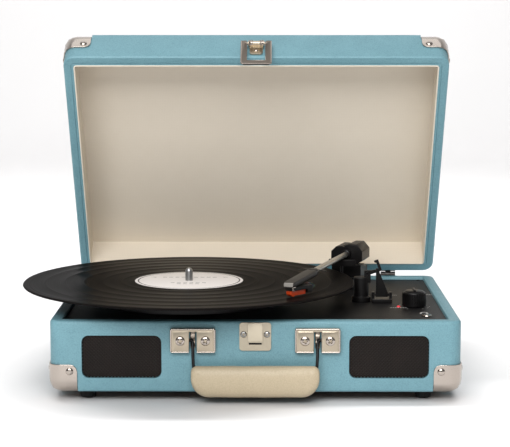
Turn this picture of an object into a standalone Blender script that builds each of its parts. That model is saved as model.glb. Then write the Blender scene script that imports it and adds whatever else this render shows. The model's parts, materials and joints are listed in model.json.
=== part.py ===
"""Suitcase record player: a hinged case with a belt-driven platter, tonearm and carrying handle.

Case frame: X to the right from the case's middle, Y back from its front face, Z up from the table.
Every piece is modelled in that frame and hangs from the empty "case_frame", which centres the
finished object on the world origin.
"""

from math import acos, cos, pi, radians, sin, sqrt

import bmesh
import bpy
from mathutils import Vector

MM = 0.001

# Fits
GAP = 0.3 * MM            # between pieces that touch in the real object
RUNNING = 0.3 * MM        # radial clearance of a turning pin
PIN_RADIUS = 1.2 * MM      # pins of the rest clip, cue lever and latch loop

# Case
CASE_WIDTH = 354 * MM
CASE_DEPTH = 256 * MM
BASE_HEIGHT = 62 * MM
FOOT_HEIGHT = 8.5 * MM
CORNER_RADIUS = 10 * MM   # upright corners, and the ball corners under the metal caps
EDGE_RADIUS = 2.5 * MM
RIM_WIDTH = 10.5 * MM
LOWER_WALL = 9 * MM
LEDGE_WIDTH = 6 * MM
LEDGE_HEIGHT = 7 * MM
FLOOR_THICKNESS = 5 * MM
DECK_THICKNESS = 3 * MM
DECK_DROP = 2.8 * MM      # deck surface below the rim
FOOT_RADIUS = 7.5 * MM
FOOT_INSET_X = 31 * MM
FOOT_INSET_Y = 22 * MM

CASE_BOTTOM = FOOT_HEIGHT + GAP
RIM_TOP = CASE_BOTTOM + BASE_HEIGHT
DECK_TOP = RIM_TOP - DECK_DROP
DECK_BOTTOM = DECK_TOP - DECK_THICKNESS

# Lid
LID_DEPTH = 39.2 * MM
LID_WALL = 7.7 * MM
LID_PANEL = 2.8 * MM
LINER_THICKNESS = 1.2 * MM
LID_OPEN = radians(58.4)
LID_RIM = RIM_TOP + GAP
HINGE_OFFSET = 4.3 * MM   # pin behind the case's rear face
HINGE_INSET = 44.7 * MM    # middle of a hinge from the case's side
HINGE_WIDTH = 14.5 * MM
HINGE_LEAF_HEIGHT = 20 * MM
HINGE_LEAF_THICKNESS = 1.2 * MM
KNUCKLE_RADIUS = 3 * MM
HINGE_PIN_RADIUS = 1.2 * MM
HINGE_X = CASE_WIDTH / 2 - HINGE_INSET
HINGE_Y = CASE_DEPTH + HINGE_OFFSET
HINGE_Z = RIM_TOP + GAP / 2

# Corner caps
CAP_REACH = 24 * MM
CAP_THICKNESS = 1 * MM
CAP_ROUND = 6 * MM

# Speakers
SPEAKER_INSET = 62.2 * MM  # middle of the opening from the case's side
SPEAKER_WIDTH = 68.6 * MM
SPEAKER_HEIGHT = 37.2 * MM
SPEAKER_ABOVE_BOTTOM = 30.7 * MM
SPEAKER_ROUND = 6 * MM
GRILLE_RECESS = 2.6 * MM
GRILLE_THICKNESS = 1.5 * MM
DRIVER_DEPTH = 32 * MM
MAGNET_RADIUS = 15 * MM
SPEAKER_X = CASE_WIDTH / 2 - SPEAKER_INSET
SPEAKER_Z = CASE_BOTTOM + SPEAKER_ABOVE_BOTTOM

# Layout of the deck: the tonearm stands off the rear right corner and the rest off the tonearm
ARM_INSET_X = 86.5 * MM
ARM_INSET_Y = 56 * MM
ARM_X = CASE_WIDTH / 2 - ARM_INSET_X
ARM_Y = CASE_DEPTH - ARM_INSET_Y
SPINDLE_X = ARM_X - 151.8 * MM
SPINDLE_Y = ARM_Y - 97 * MM
REST_X = ARM_X + 6.6 * MM
REST_Y = ARM_Y - 83 * MM
CUE_X = ARM_X + 25.4 * MM
CUE_Y = ARM_Y - 87 * MM
SELECTOR_X = ARM_X - 10.5 * MM
SELECTOR_Y = ARM_Y + 36 * MM

# Platter and record
SPINDLE_RADIUS = 3.4 * MM
BEARING_WALL = 3.3 * MM
SPINDLE_RISE = 11.9 * MM  # spindle tip above the record
PLATTER_RADIUS = 92 * MM
PLATTER_TOP = DECK_TOP + 17.6 * MM
PLATTER_WEB = 2.2 * MM
SKIRT_THICKNESS = 2.5 * MM
DRIVE_RADIUS = 72 * MM    # ring under the platter that the belt turns
MAT_THICKNESS = 1.6 * MM
RECORD_RADIUS = 150.8 * MM
RECORD_THICKNESS = 2 * MM
RECORD_BOTTOM = PLATTER_TOP + GAP + MAT_THICKNESS + GAP
RECORD_TOP = RECORD_BOTTOM + RECORD_THICKNESS

# Drive
PULLEY_RADIUS = 3 * MM
PULLEY_FLANGE = 4.6 * MM
PULLEY_DISTANCE = 80 * MM
PULLEY_BEARING = radians(60)
SHAFT_RADIUS = 1.2 * MM
BELT_THICKNESS = 1 * MM
BELT_WIDTH = 5 * MM
BELT_CLEARANCE = 0.4 * MM
MOTOR_RADIUS = 16 * MM
MOTOR_HEIGHT = 22 * MM
PULLEY_X = SPINDLE_X + PULLEY_DISTANCE * cos(PULLEY_BEARING)
PULLEY_Y = SPINDLE_Y + PULLEY_DISTANCE * sin(PULLEY_BEARING)
BELT_BOTTOM = DECK_TOP + 7 * MM

# Tonearm, drawn along -Y from its pivot
ARM_AZIMUTH = radians(-17.5)
ARM_Z = DECK_TOP + 34 * MM
ARM_BASE_RADIUS = 14.5 * MM
ARM_BASE_HEIGHT = 11 * MM
ARM_SHAFT_RADIUS = 3.9 * MM
ARM_SLEEVE_WALL = 3.8 * MM
TUBE_RADIUS = 2.6 * MM
HOUSING_FRONT = 12 * MM
HOUSING_BACK = 18 * MM
HEADSHELL_START = 125 * MM
HEADSHELL_END = 207 * MM
CARTRIDGE_OFFSET = radians(24)
CARTRIDGE_X = -1.9 * MM
CARTRIDGE_Y = -200 * MM
GIMBAL_PIN_RADIUS = 1.5 * MM
LIFTER_RADIUS = 30 * MM    # of the bar's curve round the tonearm's pivot
LIFTER_STEM_RADIUS = 1.4 * MM

# Arm rest and cue lever
REST_RADIUS = 7 * MM
REST_HEIGHT = 23 * MM
CLIP_OPEN = radians(70)
CUE_PIVOT_RISE = 7 * MM

# Controls
KNOB_INSET = 33.4 * MM     # from the case's side
KNOB_X = CASE_WIDTH / 2 - KNOB_INSET
KNOB_Y = 89.5 * MM
KNOB_SHAFT_RADIUS = 3 * MM
KNOB_RADIUS = 10.5 * MM
KNOB_HEIGHT = 14 * MM
LED_X = KNOB_X - 14.2 * MM
LED_Y = KNOB_Y - 2.9 * MM
LED_RADIUS = 1.6 * MM
JACK_X = KNOB_X + 6.9 * MM
JACK_Y = 40 * MM
JACK_RADIUS = 3.3 * MM
SELECTOR_TRAVEL = 6 * MM
SELECTOR_STEM = (2 * MM, 1.5 * MM)   # half width and half depth
SOCKETS_INSET = 107 * MM
SOCKETS_X = CASE_WIDTH / 2 - SOCKETS_INSET
BOARD_THICKNESS = 1.6 * MM

# Handle
BRACKET_WIDTH = 39 * MM
BRACKET_HEIGHT = 21.4 * MM
BRACKET_THICKNESS = 4 * MM
HANDLE_PIVOT_Z = RIM_TOP - 16.3 * MM
WIRE_RADIUS = 1.15 * MM
WIRE_TO_CASE = 0.6 * MM
WIRE_PIVOT_Y = -WIRE_RADIUS - WIRE_TO_CASE
GRIP_Y = -10 * MM
GRIP_HALF_WIDTH = 54.8 * MM
BRACKET_X = GRIP_HALF_WIDTH - 1.4 * MM
GRIP_TOP = HANDLE_PIVOT_Z - 20.4 * MM
GRIP_HEIGHT = 27.3 * MM
GRIP_THICKNESS = 16 * MM
GRIP_LOWER_ROUND = 15.5 * MM
GRIP_UPPER_ROUND = 5 * MM

# Latch
LATCH_WIDTH = 27.2 * MM
LATCH_HEIGHT = 24.4 * MM
TONGUE_WIDTH = 12.6 * MM
LOOP_WIDTH = 28.4 * MM
LOOP_LEG = 5.6 * MM
LOOP_PIVOT_RISE = 15 * MM
LOOP_Y = -5.2 * MM

ROUND = 24                # facets of a small turned piece

FINISHES = {
    "vinyl": ((0.20, 0.40, 0.47), 0.55, 0.0),
    "lining": ((0.74, 0.67, 0.55), 0.85, 0.0),
    "nickel": ((0.72, 0.68, 0.62), 0.28, 1.0),
    "steel": ((0.55, 0.55, 0.56), 0.30, 1.0),
    "black_wire": ((0.04, 0.04, 0.04), 0.30, 0.0),
    "black_plastic": ((0.02, 0.02, 0.022), 0.45, 0.0),
    "deck": ((0.025, 0.025, 0.027), 0.50, 0.0),
    "board": ((0.30, 0.22, 0.14), 0.80, 0.0),
    "rubber": ((0.015, 0.015, 0.015), 0.80, 0.0),
    "felt": ((0.05, 0.05, 0.05), 0.95, 0.0),
    "record": ((0.012, 0.012, 0.012), 0.25, 0.0),
    "mesh": ((0.03, 0.03, 0.03), 0.60, 0.3),
    "leatherette": ((0.66, 0.57, 0.42), 0.60, 0.0),
    "aluminium": ((0.70, 0.69, 0.67), 0.35, 1.0),
    "orange": ((0.72, 0.10, 0.02), 0.40, 0.0),
    "red_lens": ((0.80, 0.02, 0.03), 0.20, 0.0),
    "board_green": ((0.05, 0.22, 0.09), 0.50, 0.0),
    "brass": ((0.70, 0.52, 0.25), 0.35, 1.0),
}


# ---------------------------------------------------------------- scene and materials

def clear_scene():
    for obj in list(bpy.data.objects):
        bpy.data.objects.remove(obj, do_unlink=True)


def finish(name):
    found = bpy.data.materials.get(name)
    if found:
        return found
    colour, roughness, metallic = FINISHES[name]
    made = bpy.data.materials.new(name)
    made.use_nodes = True
    shader = made.node_tree.nodes["Principled BSDF"]
    shader.inputs["Base Color"].default_value = (*colour, 1)
    shader.inputs["Roughness"].default_value = roughness
    shader.inputs["Metallic"].default_value = metallic
    return made


def empty(name, place=(0, 0, 0), parent=None, turn=(0, 0, 0)):
    made = bpy.data.objects.new(name, None)
    bpy.context.collection.objects.link(made)
    made.parent = parent
    made.location = place
    made.rotation_euler = turn
    return made


def piece(name, bm, look, parent, offset=(0, 0, 0)):
    """Turn a bmesh into an object under its parent; offset moves its mesh in the parent's frame."""
    bmesh.ops.recalc_face_normals(bm, faces=bm.faces)
    mesh = bpy.data.meshes.new(name)
    bm.to_mesh(mesh)
    bm.free()
    mesh.shade_smooth()
    mesh.set_sharp_from_angle(angle=radians(35))
    mesh.materials.append(finish(look))
    made = bpy.data.objects.new(name, mesh)
    bpy.context.collection.objects.link(made)
    made.parent = parent
    made.location = offset
    return made


def carve(target, bm, operation="DIFFERENCE"):
    """Cut a bmesh out of a piece, join it on, or keep only what both share."""
    tool = piece(f"{target.name}_tool_{len(target.modifiers)}", bm, "steel", target.parent, target.location)
    tool.hide_render = True
    tool.display_type = "WIRE"
    boolean = target.modifiers.new(operation.lower(), "BOOLEAN")
    boolean.operation = operation
    boolean.object = tool
    return tool


# ---------------------------------------------------------------- shapes

def arc(cx, cy, radius, start, end, steps):
    return [(cx + radius * cos(start + (end - start) * i / steps),
             cy + radius * sin(start + (end - start) * i / steps)) for i in range(steps + 1)]


def rounded_rect(x0, x1, y0, y1, radius, steps=5):
    r = min(radius, (x1 - x0) / 2 - 1e-5, (y1 - y0) / 2 - 1e-5)
    corners = ((x1 - r, y0 + r, -pi / 2), (x1 - r, y1 - r, 0), (x0 + r, y1 - r, pi / 2), (x0 + r, y0 + r, pi))
    return [p for cx, cy, start in corners for p in arc(cx, cy, r, start, start + pi / 2, steps)]


def circle(cx, cy, radius, steps=ROUND):
    return arc(cx, cy, radius, 0, 2 * pi, steps)[:-1]


def loft(rings, closed=False, into=None):
    """Skin rings of equal length; an open stack gets end caps, a closed one joins last to first."""
    bm = into or bmesh.new()
    rows = [[bm.verts.new(p) for p in ring] for ring in rings]
    pairs = list(zip(rows, rows[1:])) + ([(rows[-1], rows[0])] if closed else [])
    for low, high in pairs:
        for i in range(len(low)):
            j = (i + 1) % len(low)
            bm.faces.new((low[i], low[j], high[j], high[i]))
    if not closed:
        bm.faces.new(rows[0][::-1])
        bm.faces.new(rows[-1])
    return bm


AXES = {"Z": lambda u, v, w: (u, v, w), "Y": lambda u, v, w: (u, w, v), "X": lambda u, v, w: (w, u, v)}


def prism(outline, low, high, axis="Z", into=None):
    """Extrude an outline: (x, y) along Z, (x, z) along Y, or (y, z) along X."""
    place = AXES[axis]
    return loft([[place(u, v, w) for u, v in outline] for w in (low, high)], into=into)


def box(x0, x1, y0, y1, z0, z1, into=None, bevel=0.0, steps=2):
    bm = into or bmesh.new()
    part = prism([(x0, y0), (x1, y0), (x1, y1), (x0, y1)], z0, z1)
    if bevel:
        bmesh.ops.bevel(part, geom=part.edges[:], offset=bevel, segments=steps, affect="EDGES", profile=0.5)
    mesh = bpy.data.meshes.new("scratch")
    part.to_mesh(mesh)
    part.free()
    bm.from_mesh(mesh)
    bpy.data.meshes.remove(mesh)
    return bm


def turned(profile, centre=(0, 0), steps=ROUND, into=None):
    """Turn (radius, z) points about an upright axis; a profile that leaves the axis is closed on itself."""
    bm = into or bmesh.new()
    cx, cy = centre
    rows = []
    for radius, z in profile:
        if radius == 0:
            rows.append([bm.verts.new((cx, cy, z))])
        else:
            rows.append([bm.verts.new((x, y, z)) for x, y in circle(cx, cy, radius, steps)])
    pairs = list(zip(rows, rows[1:]))
    if profile[0][0] and profile[-1][0]:
        pairs.append((rows[-1], rows[0]))
    for low, high in pairs:
        for i in range(steps):
            j = (i + 1) % steps
            corners = (low[0],) if len(low) == 1 else (low[i], low[j])
            corners += (high[0],) if len(high) == 1 else (high[j], high[i])
            bm.faces.new(corners)
    return bm


def rod(start, end, radius, steps=12, into=None):
    """Round bar between two points."""
    a, b = Vector(start), Vector(end)
    turn = (b - a).to_track_quat("Z", "Y")
    rings = [[tuple(turn @ Vector((x, y, 0)) + p) for x, y in circle(0, 0, radius, steps)] for p in (a, b)]
    return loft(rings, into=into)


def sweep(path, radius, steps=10):
    """Round wire along a path, its rings square to the path."""
    points = [Vector(p) for p in path]
    rings = []
    side = None
    for i, point in enumerate(points):
        along = (points[min(i + 1, len(points) - 1)] - points[max(i - 1, 0)]).normalized()
        if side is None:
            side = along.orthogonal()
        side = (side - along * side.dot(along)).normalized()
        up = along.cross(side)
        rings.append([tuple(point + side * x + up * y) for x, y in circle(0, 0, radius, steps)])
    return loft(rings)


def smooth_path(knots, steps=4):
    """Catmull-Rom curve through the knots."""
    k = [Vector(p) for p in knots]
    k = [2 * k[0] - k[1]] + k + [2 * k[-1] - k[-2]]
    path = []
    for a, b, c, d in zip(k, k[1:], k[2:], k[3:]):
        for i in range(steps):
            t = i / steps
            path.append(0.5 * (2 * b + (c - a) * t + (2 * a - 5 * b + 4 * c - d) * t ** 2
                               + (3 * b - 3 * c + d - a) * t ** 3))
    return path + [k[-2]]


# ---------------------------------------------------------------- case

def case_outline(inset):
    half = CASE_WIDTH / 2 - inset
    return rounded_rect(-half, half, inset, CASE_DEPTH - inset, max(CORNER_RADIUS - inset, 1.5 * MM))


def case_ring(inset, z):
    return [(x, y, z) for x, y in case_outline(inset)]


def quarter(inset, z, radius, start, steps=3):
    """Rounded edge of the case wall as (inset, z) points; the arc's centre is at inset, z."""
    return [(inset + radius * cos(start - pi / 2 * i / steps), z + radius * sin(start - pi / 2 * i / steps))
            for i in range(steps + 1)]


def ball_block(z0, z1, grow):
    """The whole case block with ball corners, grown outwards on every side."""
    half = CASE_WIDTH / 2 + grow
    return box(-half, half, -grow, CASE_DEPTH + grow, z0 - grow, z1 + grow, bevel=CORNER_RADIUS + grow, steps=4)


def ball_corners(target, z0, z1, at_bottom):
    """Round the four corners at one end of a case half into balls, within the reach of the caps."""
    reach = CAP_REACH + GAP
    out = 2 * MM
    low, high = (z0 - out, z0 + reach) if at_bottom else (z1 - reach, z1 + out)
    corners = bmesh.new()
    half = CASE_WIDTH / 2
    for x0, x1 in ((-half - out, -half + reach), (half - reach, half + out)):
        for y0, y1 in ((-out, reach), (CASE_DEPTH - reach, CASE_DEPTH + out)):
            box(x0, x1, y0, y1, low, high, into=corners)
    tool = carve(target, corners)
    taller = CAP_REACH + CORNER_RADIUS
    if at_bottom:
        carve(tool, ball_block(z0, z1 + taller, 0))
    else:
        carve(tool, ball_block(z0 - taller, z1, 0))


def corner_cap(name, parent, offset, side, back, z, up):
    """Pressed metal cap over one ball corner; up is +1 for a cap that covers a bottom corner."""
    block = 3 * CAP_REACH

    def shell(grow):
        corner = (side * (CASE_WIDTH / 2 + grow), CASE_DEPTH + grow if back else -grow, z - up * grow)
        inward = (-side * block, -block if back else block, up * block)
        spans = [sorted((c, c + i)) for c, i in zip(corner, inward)]
        return box(*spans[0], *spans[1], *spans[2], bevel=CORNER_RADIUS + grow, steps=4)

    cap = piece(name, shell(GAP + CAP_THICKNESS), "nickel", parent, offset)
    out = 3 * MM
    corner = Vector((side * (CASE_WIDTH / 2 + out), CASE_DEPTH + out if back else -out, z - up * out))
    reach = CAP_REACH + out
    far = corner + Vector((-side * reach, -reach if back else reach, up * reach))
    spans = [sorted(pair) for pair in zip(corner, far)]
    clip = box(*spans[0], *spans[1], *spans[2])
    clip.verts.ensure_lookup_table()
    nearest = min(clip.verts, key=lambda v: (v.co - far).length)
    bmesh.ops.bevel(clip, geom=list(nearest.link_edges), offset=CAP_ROUND, segments=3, affect="EDGES",
                    profile=0.5)
    carve(cap, clip, "INTERSECT")
    carve(cap, shell(GAP))
    return cap


def base_case(frame):
    top_inner = RIM_WIDTH - 1.2 * MM
    ledge = RIM_WIDTH + LEDGE_WIDTH
    ledge_top = DECK_BOTTOM - GAP
    wall = [(EDGE_RADIUS, CASE_BOTTOM)]
    wall += quarter(EDGE_RADIUS, CASE_BOTTOM + EDGE_RADIUS, EDGE_RADIUS, 3 * pi / 2)[1:]
    wall += quarter(EDGE_RADIUS, RIM_TOP - EDGE_RADIUS, EDGE_RADIUS, pi)
    wall += quarter(top_inner, RIM_TOP - 1.2 * MM, 1.2 * MM, pi / 2, 2)
    wall += [(RIM_WIDTH, ledge_top), (ledge, ledge_top), (ledge, ledge_top - LEDGE_HEIGHT),
             (LOWER_WALL, ledge_top - LEDGE_HEIGHT - 5 * MM), (LOWER_WALL, CASE_BOTTOM)]
    case = piece("base_case", loft([case_ring(d, z) for d, z in wall], closed=True), "vinyl", frame)
    openings = bmesh.new()
    for side in (-1, 1):
        prism(speaker_outline(side, 0), -5 * MM, DRIVER_DEPTH + 6 * MM, "Y", into=openings)
    box(SOCKETS_X - 20 * MM, SOCKETS_X + 20 * MM, CASE_DEPTH - 15 * MM, CASE_DEPTH + 5 * MM,
        SPEAKER_Z - 5 * MM, SPEAKER_Z + 5 * MM, into=openings)
    carve(case, openings)
    ball_corners(case, CASE_BOTTOM, RIM_TOP, True)

    floor = [case_ring(LOWER_WALL + GAP, z) for z in (CASE_BOTTOM, CASE_BOTTOM + FLOOR_THICKNESS)]
    floor = piece("bottom_panel", loft(floor), "board", frame)
    ball_corners(floor, CASE_BOTTOM, RIM_TOP, True)

    for side, left_right in ((-1, "left"), (1, "right")):
        for back, front_rear in ((False, "front"), (True, "rear")):
            corner_cap(f"base_cap_{front_rear}_{left_right}", frame, (0, 0, 0), side, back, CASE_BOTTOM, 1)
            x = side * (CASE_WIDTH / 2 - FOOT_INSET_X)
            y = CASE_DEPTH - FOOT_INSET_Y if back else FOOT_INSET_Y
            foot = [(0, 0), (FOOT_RADIUS - 1.3 * MM, 0), (FOOT_RADIUS - 0.6 * MM, 1 * MM),
                    (FOOT_RADIUS, FOOT_HEIGHT), (0, FOOT_HEIGHT)]
            piece(f"foot_{front_rear}_{left_right}", turned(foot, (x, y), 20), "rubber", frame)


def speaker_outline(side, inset, radius=SPEAKER_ROUND, width=SPEAKER_WIDTH, height=SPEAKER_HEIGHT):
    x = side * SPEAKER_X
    return rounded_rect(x - width / 2 + inset, x + width / 2 - inset,
                        SPEAKER_Z - height / 2 + inset, SPEAKER_Z + height / 2 - inset, radius - inset)


def speakers(frame):
    grille_back = GRILLE_RECESS + GRILLE_THICKNESS
    for side, word in ((-1, "left"), (1, "right")):
        grille = prism(speaker_outline(side, GAP), GRILLE_RECESS, grille_back, "Y")
        piece(f"speaker_grille_{word}", grille, "mesh", frame)
        flange = grille_back + GAP
        magnet = 2 * MAGNET_RADIUS
        stations = [
            (flange, speaker_outline(side, 0.5 * MM)),
            (flange + 2.5 * MM, speaker_outline(side, 0.5 * MM)),
            (flange + 2.6 * MM, speaker_outline(side, 4 * MM, 12 * MM)),
            (flange + 13 * MM, speaker_outline(side, 0, MAGNET_RADIUS, magnet + 6 * MM, magnet)),
            (flange + 13.1 * MM, speaker_outline(side, 0, MAGNET_RADIUS, magnet + 0.5 * MM, magnet)),
            (DRIVER_DEPTH, speaker_outline(side, 0, MAGNET_RADIUS, magnet + 0.5 * MM, magnet))]
        rings = [[(x, y, z) for x, z in outline] for y, outline in stations]
        piece(f"speaker_driver_{word}", loft(rings), "steel", frame)


def deck(frame):
    plate = loft([case_ring(RIM_WIDTH + GAP, z) for z in (DECK_BOTTOM, DECK_TOP)])
    plate = piece("deck_plate", plate, "deck", frame)
    holes = bmesh.new()
    low, high = DECK_BOTTOM - 2 * MM, DECK_TOP + 2 * MM
    lifter_x, lifter_y = lifter_place()
    for x, y, radius in ((SPINDLE_X, SPINDLE_Y, SPINDLE_RADIUS + RUNNING + BEARING_WALL + GAP),
                         (PULLEY_X, PULLEY_Y, PULLEY_FLANGE + 2 * MM),
                         (ARM_X, ARM_Y, ARM_SHAFT_RADIUS + RUNNING + ARM_SLEEVE_WALL + GAP),
                         (KNOB_X, KNOB_Y, KNOB_SHAFT_RADIUS + 2 * GAP), (LED_X, LED_Y, LED_RADIUS + GAP),
                         (JACK_X, JACK_Y, JACK_RADIUS + GAP), (lifter_x, lifter_y, LIFTER_STEM_RADIUS + 3 * GAP)):
        prism(circle(x, y, radius, 20), low, high, into=holes)
    reach, wide = SELECTOR_TRAVEL + SELECTOR_STEM[0] + 0.5 * MM, SELECTOR_STEM[1] + 0.5 * MM
    box(SELECTOR_X - reach, SELECTOR_X + reach, SELECTOR_Y - wide, SELECTOR_Y + wide, low, high, into=holes)
    carve(plate, holes)


# ---------------------------------------------------------------- platter, record and drive

def platter_unit(frame):
    pivot = empty("platter_axis", (SPINDLE_X, SPINDLE_Y, 0), frame)
    inner = SPINDLE_RADIUS + RUNNING
    outer = inner + BEARING_WALL
    flange = outer + 4 * MM
    bearing = [(inner, DECK_TOP - 16 * MM), (outer, DECK_TOP - 16 * MM), (outer, DECK_TOP + GAP),
               (flange, DECK_TOP + GAP), (flange, DECK_TOP + 2 * MM), (inner, DECK_TOP + 2 * MM)]
    piece("spindle_bearing", turned(bearing, (SPINDLE_X, SPINDLE_Y)), "brass", frame)

    tip = RECORD_TOP + SPINDLE_RISE
    dome = [(SPINDLE_RADIUS * cos(a), tip - SPINDLE_RADIUS + SPINDLE_RADIUS * sin(a))
            for a in (0, radians(25), radians(50), radians(72))]
    spindle = [(0, DECK_TOP - 12 * MM), (SPINDLE_RADIUS, DECK_TOP - 12 * MM)] + dome + [(0, tip)]
    piece("spindle", turned(spindle), "steel", pivot)

    bore = SPINDLE_RADIUS + GAP
    under = PLATTER_TOP - PLATTER_WEB
    skirt_low = DECK_TOP + 6 * MM
    hub_low = DECK_TOP + 3 * MM
    hub = 10 * MM
    platter = [(bore, PLATTER_TOP), (PLATTER_RADIUS - 1.5 * MM, PLATTER_TOP),
               (PLATTER_RADIUS, PLATTER_TOP - 1.5 * MM), (PLATTER_RADIUS, skirt_low),
               (PLATTER_RADIUS - SKIRT_THICKNESS, skirt_low), (PLATTER_RADIUS - SKIRT_THICKNESS, under),
               (DRIVE_RADIUS, under), (DRIVE_RADIUS, skirt_low), (DRIVE_RADIUS - 3 * MM, skirt_low),
               (DRIVE_RADIUS - 3 * MM, under), (hub, under), (hub, hub_low), (bore, hub_low)]
    piece("platter", turned(platter, steps=48), "black_plastic", pivot)

    mat_low = PLATTER_TOP + GAP
    mat = [(bore, mat_low), (PLATTER_RADIUS - 2 * MM, mat_low),
           (PLATTER_RADIUS - 2 * MM, mat_low + MAT_THICKNESS), (bore, mat_low + MAT_THICKNESS)]
    piece("slip_mat", turned(mat, steps=48), "felt", pivot)

    r, low, high = RECORD_RADIUS, RECORD_BOTTOM, RECORD_TOP
    sunk = 0.25 * MM       # grooves lie below the bead and the label
    record = [(bore, low), (r - 1 * MM, low), (r, low + 0.6 * MM), (r, high - 0.6 * MM), (r - 1 * MM, high),
              (r - 4 * MM, high), (r - 5 * MM, high - sunk), (52 * MM, high - sunk), (51 * MM, high),
              (bore, high)]
    piece("record", turned(record, steps=72), "record", pivot)


def drive(frame):
    shaft_low = DECK_BOTTOM - GAP - MOTOR_HEIGHT + 11 * MM
    motor_top = DECK_BOTTOM - GAP
    motor_low = motor_top - MOTOR_HEIGHT
    bore = SHAFT_RADIUS + 0.5 * MM
    can = [(0, motor_low), (MOTOR_RADIUS, motor_low), (MOTOR_RADIUS, motor_top - 2 * MM),
           (MOTOR_RADIUS - 1.5 * MM, motor_top), (bore, motor_top), (bore, shaft_low - 2 * MM),
           (0, shaft_low - 2 * MM)]
    piece("motor", turned(can, (PULLEY_X, PULLEY_Y)), "steel", frame)

    axis = empty("motor_axis", (PULLEY_X, PULLEY_Y, 0), frame)
    seat_low = BELT_BOTTOM - 0.6 * MM
    seat_high = BELT_BOTTOM + BELT_WIDTH + 0.6 * MM
    pulley = [(0, shaft_low), (SHAFT_RADIUS, shaft_low), (SHAFT_RADIUS, seat_low - 0.8 * MM),
              (PULLEY_FLANGE, seat_low - 0.8 * MM), (PULLEY_FLANGE, seat_low), (PULLEY_RADIUS, seat_low),
              (PULLEY_RADIUS, seat_high), (PULLEY_FLANGE, seat_high), (PULLEY_FLANGE, seat_high + 0.8 * MM),
              (0, seat_high + 0.8 * MM)]
    piece("motor_pulley", turned(pulley, steps=20), "brass", axis)

    large = DRIVE_RADIUS + BELT_CLEARANCE
    small = PULLEY_RADIUS + BELT_CLEARANCE
    wrap = acos((large - small) / PULLEY_DISTANCE)

    def loop(grow):
        path = arc(SPINDLE_X, SPINDLE_Y, large + grow, PULLEY_BEARING + wrap,
                   PULLEY_BEARING + 2 * pi - wrap, 44)
        return path + arc(PULLEY_X, PULLEY_Y, small + grow, PULLEY_BEARING - wrap, PULLEY_BEARING + wrap, 6)

    top = BELT_BOTTOM + BELT_WIDTH
    corners = ((0, BELT_BOTTOM), (BELT_THICKNESS, BELT_BOTTOM), (BELT_THICKNESS, top), (0, top))
    rings = [[(x, y, z) for x, y in loop(grow)] for grow, z in corners]
    piece("drive_belt", loft(rings, closed=True), "rubber", frame)


# ---------------------------------------------------------------- tonearm

def lifter_place():
    return (ARM_X + LIFTER_RADIUS * sin(ARM_AZIMUTH), ARM_Y - LIFTER_RADIUS * cos(ARM_AZIMUTH))


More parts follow.
